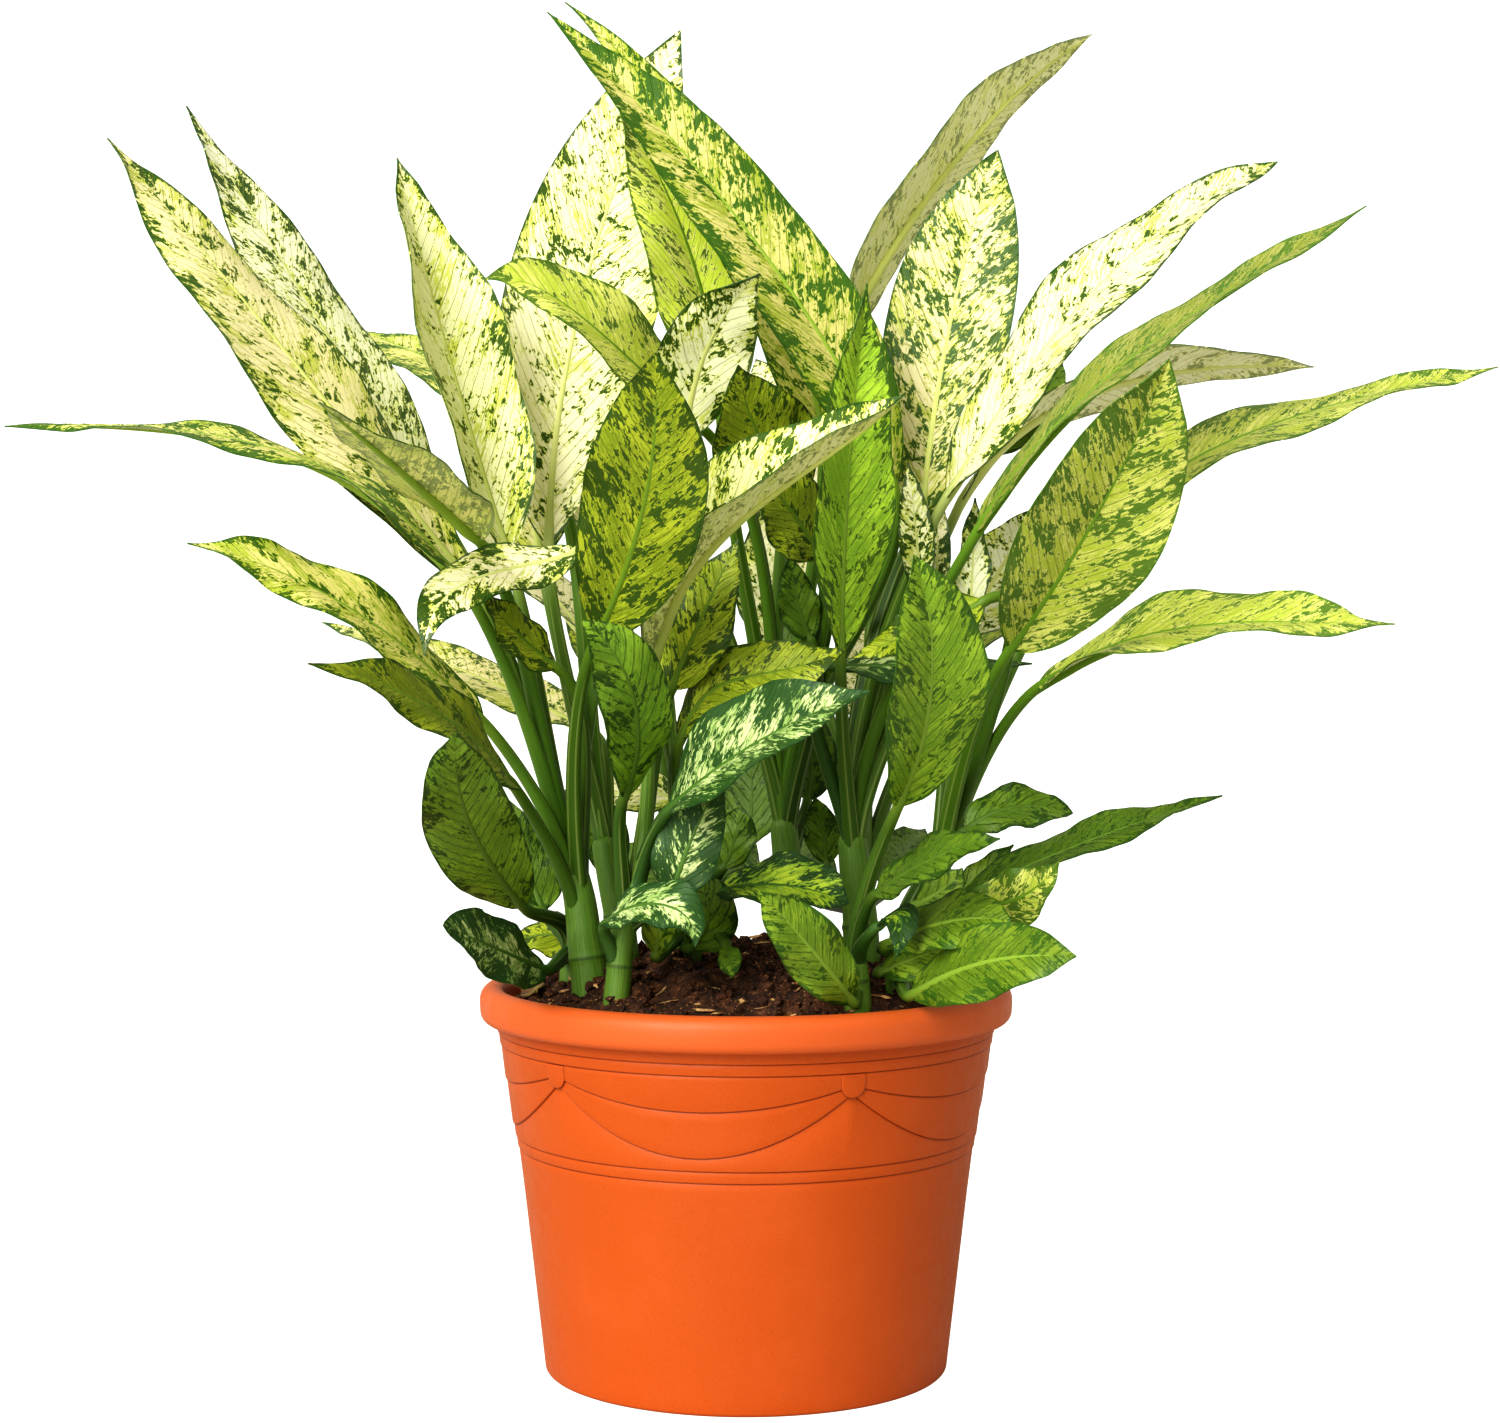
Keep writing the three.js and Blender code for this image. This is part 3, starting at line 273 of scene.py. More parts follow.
# Pot wall: radius against height, bare of its relief
WALL_PROFILE = ((102, 0), (112.4, 91), (120.9, 158), (122.9, 175))
RIM_UNDERSIDE = 177.5
WALL_BEND = 91
FLOOR_BEND = 8
FLOOR_RADIUS = 95
WALL = 3.4
FLOOR = 4
SWAGS = 5
FIRST_KNOB_DEG = 24.3
UPPER_LINE = (161, 11.5)
LOWER_LINE = (157, 30)
LEDGES = (114.9, 120.7, 167.1, 172.8)
LEDGE_STEP = 0.5
SWAG_STEP = 0.7
BAND = 2 * LEDGE_STEP + 2 * SWAG_STEP
GROOVE = 0.3
# Rounded corners of the pot's section: centre, first and last angle, radii across and up, rows
BASE_CORNER = ((99.6, 2.6), -90, -8, (2.7, 2.6), 6)
UNDER_RIM = ((127.6, RIM_UNDERSIDE), 180, 90, (1.2, 0.9), 4)
RIM_LOWER = ((130.6, 183.4), -80, -4, (4.2, 5.2), 8)
RIM_ROLL = ((128.2, 189), 8, 132, (6.8, 7), 14)
PLAIN_HEIGHTS = (8, 16, 26, 36.5, 50, 64, 78, 91, 103, 110)
# Rows round a step: height from its edge, share of its rise, share of the groove's depth, which is also its
# share of painted shade
STEP_ROWS = ((-1.1, 0, 0), (-0.65, 0, 0.7), (-0.25, 0, 1), (0.0, 0.35, 0.6), (0.2, 0.85, 0), (0.6, 1, 0))
KNOB_WIDTH = 13
KNOB_BOTTOM = 155
KNOB_TOP = 166.6
KNOB_DEPTH = 3
# A knob's two softened edges: how far in and how far out each goes
KNOB_EDGES = ((0.45, 0.35), (0.6, 0.1))
KNOB_SUNK = 2.9
# A knob's colour gets painted shade up to this far out from its back, short of its face
KNOB_FACE = 3.2
KNOB_BEND_RADIUS = 124

# Soil: lumps of these wave lengths, about a level that lies under the smooth dome by SOIL_SUNK, less
# SOIL_RAISED away from the pot's wall
SOIL_RADIUS = 119.2
SOIL_EDGE = 188
SOIL_DOME = 24
DOME_RADIUS = 120
SOIL_SUNK = 4.0
SOIL_RAISED = 1.5
LUMP_LENGTHS = (38, 27, 19, 13, 9, 6.5, 4.5)
LUMP_SHARE = 0.45
SOIL_SEED = 5
SOIL_MARGIN = 10
SOIL_GAP = 0.4
# The soil's buried corner. It lies 1.4 mm inside the pot's wall, out of sight
SOIL_CORNER = (101, 9)

# The dry leaf that lies on the soil: where, how it slopes outwards and down, and its size
DRY_LEAF_BEARING_DEG = -74.7
DRY_LEAF_RADIUS = 109.5
DRY_LEAF_HEIGHT = 194.6
DRY_LEAF_SLOPE = (14.8, 9.93)
DRY_LEAF_LENGTH = 27
DRY_LEAF_HALF_WIDTH = 6.5
DRY_LEAF_THICKNESS = 0.7

# Stalks and blades
STALK_FOOT = 5
STALK_NECK = 2.6
STALK_STEPS = 48
RIB_STEPS = 96
WAVES = 2.5
DROOP_DEG = 10
BASE_FULLNESS = 0.75
TIP_TAPER = 1.05
VEIN_SPACING = 8.5
TIP_WIDTH = 0.35
BRIGHTEST = 0.95
SHADE_SPREAD = 0.05
FLECK_SPREAD = 0.02
# A leaf's tip narrows over its last share of length, and its waves fade where it is narrow
DRIP_START = 0.86
DRIP_LENGTH = 0.14
DRIP_NARROWING = 0.3
WAVE_FADE = 8
RIPPLES = 10
# A stalk's share of its grid, its place on the cane, its channel and how far a midrib lies sunk
NECK_SHARE = 0.45
TOP_JOINT = 0.97
CHANNEL_DEPTH = 0.42
CHANNEL_WIDTH = 0.55
RIB_SUNK = 0.55

# How deep a cane stands in the soil, and its leaf scar above its buried foot
PLANTING_DEPTH = 25
SCAR_HEIGHT = 35
SCAR_WIDTH = 1.6
SCAR_SWELLING = 0.07
CANE_CAP = 0.8

# Stage: where the suns stand, and how wide they look
KEY_FROM = (-0.42, -0.62, 0.66)
FRONT_FROM = (-0.5, -0.84, 0.22)
SUN_WIDTH_DEG = 36
FLOOR_GLOW = 1.25
FLOOR_GLOW_SHARE = 0.66


def paint(red, green, blue):
    """A colour given as it looks on a screen, 0 to 255, as the linear light that materials use."""
    linear = []
    for value in (red, green, blue):
        share = value / 255
        linear.append(share / 12.92 if share <= 0.04045 else ((share + 0.055) / 1.055) ** 2.4)
    return (*linear, 1.0)


def look_of(ground, blotch, fleck, stalk, rib, **markings):
    """A leaf's colours, as they look on a screen, and how its markings lie: how many flecks and blotches,
    how far flecks crowd in from the margin, how soft their edges are, how short they are along the side
    veins and how close they lie, and how much the skin swells between side veins."""
    colours = dict(ground=ground, blotch=blotch, fleck=fleck, stalk=stalk, rib=rib)
    return {part: paint(*colour) for part, colour in colours.items()} | markings


LOOKS = {
    "cream": look_of((250, 243, 206), (204, 212, 80), (44, 82, 14), (92, 126, 40), (222, 226, 150),
        flecks=0.02, blotches=0.33, crowd=0.1, soft=0.01, short=1.0, close=1.0, swell=1.0),
    "butter": look_of((247, 237, 186), (198, 206, 70), (48, 88, 14), (92, 126, 40), (214, 220, 132),
        flecks=0.02, blotches=0.4, crowd=0.12, soft=0.012, short=1.0, close=1.0, swell=1.0),
    "gold": look_of((236, 228, 148), (174, 192, 50), (60, 104, 22), (100, 138, 44), (156, 184, 72),
        flecks=0.04, blotches=0.45, crowd=0.14, soft=0.014, short=0.9, close=1.05, swell=1.2),
    "bright": look_of((184, 198, 76), (224, 225, 132), (84, 120, 34), (92, 128, 36), (120, 156, 48),
        flecks=0.03, blotches=0.42, crowd=0.1, soft=0.025, short=0.8, close=1.3, swell=1.3),
    "olive": look_of((138, 156, 36), (188, 198, 60), (52, 82, 18), (80, 112, 30), (116, 144, 44),
        flecks=0.05, blotches=0.42, crowd=0.08, soft=0.03, short=0.8, close=1.2, swell=1.3),
    "dark": look_of((92, 122, 34), (122, 150, 44), (48, 78, 18), (60, 90, 26), (96, 124, 42),
        flecks=0.03, blotches=0.4, crowd=0.08, soft=0.06, short=0.9, close=1.1, swell=2.4),
    "plain": look_of((114, 146, 40), (158, 184, 60), (64, 100, 26), (76, 108, 32), (140, 168, 66),
        flecks=0.03, blotches=0.42, crowd=0.1, soft=0.055, short=0.8, close=1.2, swell=2.2),
    "streaked": look_of((214, 224, 164), (140, 172, 88), (42, 80, 34), (66, 98, 40), (88, 122, 52),
        flecks=0.12, blotches=0.5, crowd=0.16, soft=0.02, short=0.85, close=1.7, swell=1.2),
    "striped": look_of((176, 196, 60), (120, 156, 52), (38, 74, 32), (60, 92, 34), (80, 116, 46),
        flecks=0.09, blotches=0.45, crowd=0.2, soft=0.02, short=0.85, close=1.5, swell=1.2),
}


class PotSettings(bpy.types.PropertyGroup):
    colour: bpy.props.FloatVectorProperty(
        name="Plastic", description="Colour of the moulded pot",
        subtype="COLOR", size=4, min=0, max=1, default=paint(187, 86, 21))
    relief: bpy.props.FloatProperty(
        name="Relief",
        description="How far the garland's parts stand out, as a share of their modelled height",
        default=1.0, min=0.0, max=1.5, subtype="FACTOR")
    columns: bpy.props.IntProperty(
        name="Columns", description="Faces round the pot", default=300, min=60, max=480)


class SoilSettings(bpy.types.PropertyGroup):
    colour: bpy.props.FloatVectorProperty(
        name="Soil", description="Colour of damp potting soil",
        subtype="COLOR", size=4, min=0, max=1, default=paint(96, 60, 37))
    crumbs: bpy.props.IntProperty(
        name="Crumbs", description="Loose crumbs on the surface", default=1500, min=0, max=3000)
    fibres: bpy.props.IntProperty(
        name="Chips", description="Pale wood chips and fibres", default=260, min=0, max=400)
    roughness: bpy.props.FloatProperty(
        name="Unevenness", description="Height of the lumps in the surface",
        default=3.0 * MM, min=0.0, unit="LENGTH")


class FoliageSettings(bpy.types.PropertyGroup):
    thickness: bpy.props.FloatProperty(
        name="Blade thickness", description="Thickness of a leaf blade",
        default=0.6 * MM, min=0.2 * MM, unit="LENGTH")
    face_size: bpy.props.FloatProperty(
        name="Face size", description="Length of a blade's faces along its midrib",
        default=2.6 * MM, min=1.0 * MM, unit="LENGTH")
    ripple: bpy.props.FloatProperty(
        name="Ripple", description="Height of the fine ripple along a margin",
        default=0.25 * MM, min=0.0, unit="LENGTH")
    quilt: bpy.props.FloatProperty(
        name="Quilting", description="Height of the swellings between side veins",
        default=0.3 * MM, min=0.0, unit="LENGTH")


class StageSettings(bpy.types.PropertyGroup):
    floor_size: bpy.props.FloatProperty(
        name="Floor", description="Side of the pale floor", default=80.0, min=2.0, unit="LENGTH")
    key_strength: bpy.props.FloatProperty(
        name="Key light", description="Strength of the large soft light", default=2.0, min=0.0)
    front_strength: bpy.props.FloatProperty(
        name="Front light", description="Strength of the low light from the front",
        default=1.3, min=0.0)
    sky: bpy.props.FloatProperty(
        name="Surround", description="Strength of the light from all round",
        default=0.52, min=0.0, max=3.0)


def unit(vectors):
    """Vectors, one a row, brought to length 1."""
    return vectors / np.linalg.norm(vectors, axis=-1, keepdims=True)


def seen(place):
    """A place as listed above, in metres."""
    across, height, depth = place
    nearer = (EYE_DISTANCE + depth) / EYE_DISTANCE
    return np.array([
        EYE_ACROSS + (across - EYE_ACROSS) * nearer,
        depth,
        EYE_HEIGHT + (height - EYE_HEIGHT) * nearer,
    ]) * MM


def cane_place(points, share):
    """A place on the smooth line through a cane's points, at a share of its course."""
    spans = len(points) - 1
    course = min(max(share, 0.0), 1.0) * spans
    i = min(int(course), spans - 1)
    t = course - i
    p1, p2 = points[i], points[i + 1]
    p0 = points[i - 1] if i > 0 else 2 * p1 - p2
    p3 = points[i + 2] if i + 2 <= spans else 2 * p2 - p1
    bend = 2 * p0 - 5 * p1 + 4 * p2 - p3
    return 0.5 * (2 * p1 + (p2 - p0) * t + bend * t ** 2 + (3 * p1 - p0 - 3 * p2 + p3) * t ** 3)


def rib_place(points, u):
    """Places on the curve through a midrib's equally spaced points, at shares u of it."""
    last = len(points) - 1
    places = np.zeros((len(u), 3))
    for i, point in enumerate(points):
        weight = np.ones(len(u))
        for j in range(last + 1):
            if j != i:
                weight *= (u * last - j) / (i - j)
        places += weight[:, None] * point
    return places


def turned_about(vector, axis, degrees):
    """A vector turned about a unit axis."""
    angle = math.radians(degrees)
    cross = np.cross(axis, vector)
    kept = axis * np.dot(axis, vector) * (1 - math.cos(angle))
    return vector * math.cos(angle) + cross * math.sin(angle) + kept


class LeafPath:
    """A leaf's stalk and midrib, with the way its upper face looks. Stations run from -1 at the
    stalk's foot by 0 at the neck to 1 at the tip."""

    def __init__(self, leaf, cane):
        rib = [seen(point) for point in leaf["rib"]]
        on = leaf["at"] * TOP_JOINT
        foot = cane_place(cane, on)
        aim = unit(cane_place(cane, on + 0.03) - cane_place(cane, on - 0.05))
        reach = np.linalg.norm(rib[0] - foot)
        leaving = unit(rib_place(rib, np.array([0.02]))[0] - rib[0])
        s = (np.arange(STALK_STEPS) / STALK_STEPS)[:, None]
        stalk = ((2 * s ** 3 - 3 * s ** 2 + 1) * foot + (s ** 3 - 2 * s ** 2 + s) * aim * reach
                 + (3 * s ** 2 - 2 * s ** 3) * rib[0] + (s ** 3 - s ** 2) * leaving * reach * 0.8)
        places = np.vstack([stalk, rib_place(rib, np.linspace(0, 1, RIB_STEPS + 1))])
        along = unit(np.gradient(places, axis=0))
        middle = STALK_STEPS + RIB_STEPS // 2
        up = np.zeros_like(places)
        up[middle] = self.facing(along[middle], leaf["turn"])
        for i in range(middle + 1, len(places)):
            up[i] = self.squared(up[i - 1], along[i])
        for i in range(middle - 1, -1, -1):
            up[i] = self.squared(up[i + 1], along[i])
        steps = np.linalg.norm(np.diff(places, axis=0), axis=1)
        run = np.concatenate([[0], np.cumsum(steps)])
        self.station = np.concatenate([
            np.arange(STALK_STEPS) / STALK_STEPS - 1, np.linspace(0, 1, RIB_STEPS + 1)])
        self.run = run - run[STALK_STEPS]
        self.values = np.hstack([places, along, up])

    @staticmethod
    def squared(vector, along):
        return unit(vector - along * np.dot(vector, along))

    def facing(self, along, turn):
        forward = np.array([0.0, -1.0, 0.0])
        towards = forward - along * np.dot(forward, along)
        if np.linalg.norm(towards) < 0.3:
            forward = np.array([0.0, 0.0, 1.0])
        return turned_about(self.squared(forward, along), along, turn)

    def sample(self, station):
        """Places, the way on, up and right, and the run from the neck, at each station."""
        columns = [np.interp(station, self.station, column) for column in self.values.T]
        values = np.stack(columns, axis=-1)
        along = unit(values[:, 3:6])
        up = unit(values[:, 6:9])
        return values[:, :3], along, up, np.cross(along, up), np.interp(station, self.station, self.run)


def half_width(leaf, u):
    """Half the blade's width at each share u of its length."""
    base = leaf.get("base", BASE_FULLNESS)
    taper = leaf.get("taper", TIP_TAPER)
    widest = base / (base + taper)
    half = leaf["width"] / 2 * (u / widest) ** base * ((1 - u) / (1 - widest)) ** taper
    drip = np.clip((u - DRIP_START) / DRIP_LENGTH, 0, 1)
    return np.maximum(half * (1 - DRIP_NARROWING * drip), TIP_WIDTH) * MM


def leaf_layers(count, ground, blotch, fleck, amounts=(0.0, 0.0, 0.0, 0.0)):
    """The colour layers that the finishes read, the same at each of a grid's vertices."""
    one = np.ones(count)
    layers = {"Ground": ground, "Blotch": blotch, "Fleck": fleck, "Amounts": amounts}
    return {title: np.outer(one, values) for title, values in layers.items()}


def blade_shape(leaf, path, settings):
    """What puts each vertex of a grid on a leaf's blade, with the layers that its finish reads."""
    look = LOOKS[leaf["look"]]
    rng = random.Random(leaf["number"])
    # The shade is partly the leaf's own lightness and partly painted light and shade
    shade = leaf.get("shade", 1.0) * (1 + rng.uniform(-SHADE_SPREAD, SHADE_SPREAD))
    flecks = look["flecks"] + leaf.get("flecks", 0) + rng.uniform(-FLECK_SPREAD, FLECK_SPREAD)
    ground, blotch = (np.minimum(np.array(look[part]) * shade, BRIGHTEST) for part in ("ground", "blotch"))
    amounts = (flecks, look["blotches"], look["crowd"], look["soft"])

    def shape(u, v):
        at, along, up, right, run = path.sample(u)
        half = half_width(leaf, u)
        reach = np.abs(v)
        side = np.where(v < 0, -1.0, 1.0)
        fold = math.radians(leaf["fold"])
        droop = math.radians(leaf.get("droop", DROOP_DEG))
        slope = fold - droop * reach
        across = half * (math.sin(fold) - np.sin(slope)) / droop
        above = half * (np.cos(slope) - math.cos(fold)) / droop
        from_rib = half * reach
        vein_run = run - from_rib * (1.35 + 9 * from_rib)
        swing = np.minimum(1, half / (WAVE_FADE * MM))
        seed = leaf["seed"]
        above += leaf["wave"] * MM * np.sin(2 * np.pi * WAVES * u + seed + side) * reach ** 2 * swing
        ripple = np.sin(2 * np.pi * RIPPLES * u + 2.3 * seed + 2 * side)
        above += settings.ripple * ripple * reach ** 4 * swing
        swelling = np.cos(2 * np.pi * vein_run / (VEIN_SPACING * MM))
        above += settings.quilt * look["swell"] * swelling * 4 * reach * (1 - reach) * swing
        places = at + right * (side * across)[:, None] + up * above[:, None]
        vein_out = vein_run * 0.8 + from_rib * 1.68
        vein = np.stack([vein_run * look["close"] + leaf["number"], vein_out * look["short"]], axis=-1)
        place = np.stack([side * from_rib, half - from_rib], axis=-1)
        maps = {"Vein": vein, "Place": place}
        return places, maps, leaf_layers(len(u), ground, blotch, look["fleck"], amounts)

    return shape


def stalk_shape(leaf, path):
    """What wraps a grid round a leaf's stalk and on under its midrib to the tip."""
    look = LOOKS[leaf["look"]]
    small = min(1.0, 0.35 + leaf["width"] / 60)

    def shape(u, v):
        station = np.where(u < NECK_SHARE, u / NECK_SHARE - 1, (u - NECK_SHARE) / (1 - NECK_SHARE))
        at, along, up, right, run = path.sample(station)
        on_rib = np.clip(station, 0, 1)
        on_stalk = np.clip(-station, 0, 1)
        radius = STALK_NECK + (STALK_FOOT - STALK_NECK) * on_stalk
        below_blade = np.clip(on_rib * 12, 0, 1)
        slimmer = 1 - (1 - small) * below_blade
        rib = (STALK_NECK * (1 - on_rib) ** 0.8 + 0.25) * slimmer
        radius = np.where(station > 0, rib, radius) * MM
        radius = np.where((u < 1e-6) | (u > 1 - 1e-6), 0, radius)
        angle = np.pi * v
        channel = CHANNEL_DEPTH * np.exp(-(angle / CHANNEL_WIDTH) ** 2) * np.clip(on_stalk * 3, 0, 1)
        reach = radius * (1 - channel)
        sink = np.where(station > 0, RIB_SUNK, 0) * radius * below_blade
        aside, above = np.sin(angle) * reach, np.cos(angle) * reach - sink
        places = at + right * aside[:, None] + up * above[:, None]
        vein = np.stack([run + leaf["number"], v * 0.02], axis=-1)
        place = np.stack([station, np.abs(v)], axis=-1)
        return places, {"Vein": vein, "Place": place}, leaf_layers(
            len(u), look["stalk"], look["rib"], look["fleck"])

    return shape


def cane_shape(shoot, number):
    """What wraps a grid round a cane, from its buried foot to its rounded top."""
    points = [seen(point) for point in shoot["points"]]
    foot = points[0].copy()
    out = math.hypot(foot[0], foot[1]) / MM
    foot[2] = (soil_height(out) - PLANTING_DEPTH) * MM
    shares = np.linspace(0, 1, 60)
    line = np.vstack([foot, [cane_place(points, share) for share in shares]])
    end = line[-1] + unit(line[-1] - line[-2]) * shoot["top"] * CANE_CAP * MM
    line = np.vstack([line, end])
    run = np.concatenate([[0], np.cumsum(np.linalg.norm(np.diff(line, axis=0), axis=1))])

    def middle(course):
        return np.stack([np.interp(course, run, line[:, k]) for k in range(3)], axis=-1)

    def shape(u, v):
        course = u * run[-1]
        at = middle(course)
        along = unit(middle(course + 4 * MM) - middle(course - 4 * MM))
        right = unit(np.cross(along, np.array([0.0, -1.0, 0.0])))
        up = np.cross(right, along)
        grown = np.clip((course - run[1]) / (run[-2] - run[1]), 0, 1)
        radius = (shoot["foot"] + (shoot["top"] - shoot["foot"]) * grown) * MM
        ring = np.abs(course / MM - SCAR_HEIGHT - 5 * (number % 3))
        radius *= 1 + SCAR_SWELLING * np.exp(-(ring / SCAR_WIDTH) ** 2)
        left = np.clip((run[-1] - course) / (shoot["top"] * MM), 0, 1)
        radius *= np.sqrt(1 - (1 - left) ** 2)
        radius = np.where(u < 1e-6, 0, radius)
        angle = np.pi * v
        places = at + right * (np.sin(angle) * radius)[:, None] + up * (np.cos(angle) * radius)[:, None]
        vein = np.stack([course + number, v * 0.03], axis=-1)
        place = np.stack([-2 * np.ones_like(u), ring * MM], axis=-1)
        return places, {"Vein": vein, "Place": place}, leaf_layers(
            len(u), paint(90, 126, 38), paint(140, 164, 70), paint(54, 82, 20))

    return shape


def wall_radius(height):
    """The pot's radius at each height, bare of its relief."""
    radii, heights = zip(*WALL_PROFILE)
    return np.interp(height, heights, radii)


def soil_height(radius):
    """The height of the smooth soil dome at a radius."""
    return SOIL_EDGE + SOIL_DOME * (1 - (np.minimum(radius, SOIL_RADIUS) / DOME_RADIUS) ** 4)


def line_height(line, bearing):
    """Height of a garland line: a parabola between two knobs."""
    ends, sag = line
    along = ((bearing - math.radians(FIRST_KNOB_DEG)) * SWAGS / (2 * np.pi)) % 1
    return ends - sag * (1 - (2 * along - 1) ** 2)


def pot_rows(relief):
    """The pot's section from the middle of its base round to the middle of its floor: each row gives its
    share of painted shade, and radius and height for any bearing."""
    ledges = 2 * LEDGE_STEP
    swags = ledges + SWAG_STEP

    def level(radius, height):
        return 0.0, lambda bearing: (np.full_like(bearing, radius), np.full_like(bearing, height))

    def wall(height, proud):
        return level(wall_radius(height) + proud * relief, height)

    def step(height_at, below, above):
        """Rows round a small step: a fine groove at its foot, painted with shade, and a rounded top."""
        for lift, share, groove_and_shade in STEP_ROWS:
            proud = (below + (above - below) * share - GROOVE * groove_and_shade) * relief
            yield groove_and_shade, lambda bearing, lift=lift, proud=proud: (
                wall_radius(height_at(bearing) + lift) + proud, height_at(bearing) + lift)

    def ledge(height, below):
        return step(lambda bearing: np.full_like(bearing, height), below, below + LEDGE_STEP)

    def arc(centre, start, end, radii, count):
        """Rows on an arc of an ellipse in the section."""
        for k in range(count):
            angle = math.radians(start + (end - start) * k / (count - 1))
            yield level(centre[0] + radii[0] * math.cos(angle), centre[1] + radii[1] * math.sin(angle))

    yield level(0, 0)
    yield level(60, 0)
    yield level(96, 0)
    yield from arc(*BASE_CORNER)
    for height in PLAIN_HEIGHTS:
        yield wall(height, 0)
    yield from ledge(LEDGES[0], 0)
    yield wall(117.8, LEDGE_STEP)
    yield from ledge(LEDGES[1], LEDGE_STEP)
    yield wall(123, ledges)
    yield from step(lambda bearing: line_height(LOWER_LINE, bearing), ledges, swags)
    for share in (0.25, 0.5, 0.75):
        yield 0.0, lambda bearing, share=share: swag_row(bearing, share, swags * relief)
    yield from step(lambda bearing: line_height(UPPER_LINE, bearing), swags, BAND)
    yield wall(164.5, BAND)
    yield from ledge(LEDGES[2], BAND)
    yield wall(170, BAND + LEDGE_STEP)
    yield from ledge(LEDGES[3], BAND + LEDGE_STEP)
    yield wall(175.5, BAND + 2 * LEDGE_STEP)
    yield from arc(*UNDER_RIM)
    yield from arc(*RIM_LOWER)
    yield level(135, 187)
    yield from arc(*RIM_ROLL)
    yield level(122.6, 190)
    yield level(wall_radius(183) - 1.2, 183)
    yield level(wall_radius(WALL_BEND) - WALL, WALL_BEND)
    yield level(wall_radius(FLOOR_BEND) - WALL, FLOOR_BEND)
    yield level(FLOOR_RADIUS, FLOOR)
    yield level(0, FLOOR)


def swag_row(bearing, share, proud):
    """A row inside the swags, at a share of the way from their lower line to the upper one."""
    low = line_height(LOWER_LINE, bearing)
    high = line_height(UPPER_LINE, bearing)
    height = low + (high - low) * share
    return wall_radius(height) + proud, height


def pot_shape(relief):
    """What wraps a grid into the pot, row by row."""
    rows = list(pot_rows(relief))

    def shape(u, v):
        bearing = np.pi * v + math.radians(FIRST_KNOB_DEG)
        number = np.rint(u * (len(rows) - 1)).astype(int)
        radius = np.zeros_like(u)
        height = np.zeros_like(u)
        # Each vertex's share of painted shade, taken from its row
        groove_and_shade = np.zeros((len(u), 4))
        for k, (depth, row) in enumerate(rows):
            mine = number == k
            radius[mine], height[mine] = row(bearing[mine])
            groove_and_shade[mine] = depth
        places = np.stack([radius * np.sin(bearing), -radius * np.cos(bearing), height], axis=-1) * MM
        return places, {}, {"GrooveShade": groove_and_shade}

    return len(rows), shape


def deselect():
    """Nothing is selected, so an operator acts only on what comes next."""
    if bpy.context.object and bpy.context.object.mode != "OBJECT":
        bpy.ops.object.mode_set(mode="OBJECT")
    bpy.ops.object.select_all(action="DESELECT")


def grid_piece(name, columns, rows, shape):
    """A grid primitive bent to a shape: u runs 0 to 1 up its rows and v -1 to 1 across them."""
    deselect()
    bpy.ops.mesh.primitive_grid_add(x_subdivisions=columns, y_subdivisions=rows, size=2)
    piece = bpy.context.object
    piece.name = name
    mesh = piece.data
    flat = np.empty(len(mesh.vertices) * 3)
    mesh.vertices.foreach_get("co", flat)
    flat = flat.reshape(-1, 3)
    v = flat[:, 0].copy()
    u = np.clip((flat[:, 1] + 1) / 2, 0, 1)
    places, maps, colours = shape(u, v)
    mesh.vertices.foreach_set("co", places.astype(np.float32).ravel())
    corner = np.empty(len(mesh.loops), dtype=np.int32)
    mesh.loops.foreach_get("vertex_index", corner)
    for layer in list(mesh.uv_layers):
        mesh.uv_layers.remove(layer)
    for title, values in maps.items():
        layer = mesh.uv_layers.new(name=title)
        layer.data.foreach_set("uv", values[corner].astype(np.float32).ravel())
    for title, values in colours.items():
        layer = mesh.color_attributes.new(name=title, type="FLOAT_COLOR", domain="POINT")
        layer.data.foreach_set("color", values.astype(np.float32).ravel())
    mesh.update()
    return piece


def edited(step, **options):
    """Takes one step in edit mode, on the whole mesh of the active object."""
    bpy.ops.object.mode_set(mode="EDIT")
    bpy.ops.mesh.select_all(action="SELECT")
    step(**options)
    bpy.ops.object.mode_set(mode="OBJECT")


def close_seams(piece):
    """Merges the vertices that meet where a grid is wrapped round, and at its poles."""
    edited(bpy.ops.mesh.remove_doubles, threshold=2e-6)
    return piece


def point_outwards():
    """Turns the active object's faces outwards."""
    edited(bpy.ops.mesh.normals_make_consistent, inside=False)


def make_solid(piece, thickness):
    """Gives a blade its thickness, with the second material on its under face."""
    modifier = piece.modifiers.new("Thickness", "SOLIDIFY")
    modifier.thickness = thickness
    modifier.offset = 0
    modifier.material_offset = 1
    bpy.ops.object.modifier_apply(modifier=modifier.name)


def pick(*pieces):
    """Selects these pieces alone, and makes the first one active."""
    deselect()
    for piece in pieces:
        piece.select_set(True)
    bpy.context.view_layer.objects.active = pieces[0]


def joined(pieces, name):
    """Several objects made one."""
    pick(*pieces)
    if len(pieces) > 1:
        bpy.ops.object.join()
    piece = bpy.context.object
    piece.name = name
    piece.data.name = name
    return piece


def smoothed(piece, degrees=50):
    """Shades a piece smooth, but for edges sharper than this."""
    pick(piece)
    bpy.ops.object.shade_smooth_by_angle(angle=math.radians(degrees))


def placed(piece, slot, *nodes):
    """The finished piece rides on the root and stands for its nodes."""
    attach(piece, "root")
    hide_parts(*nodes)


def sum_of(operation, reflected=False):
    """A method that makes a Math node of a value and another, or of the other and the value."""
    def method(self, other):
        first, second = (other, self) if reflected else (self, other)
        return self.finish.node("ShaderNodeMath", {"operation": operation}, {0: first, 1: second})

    return method


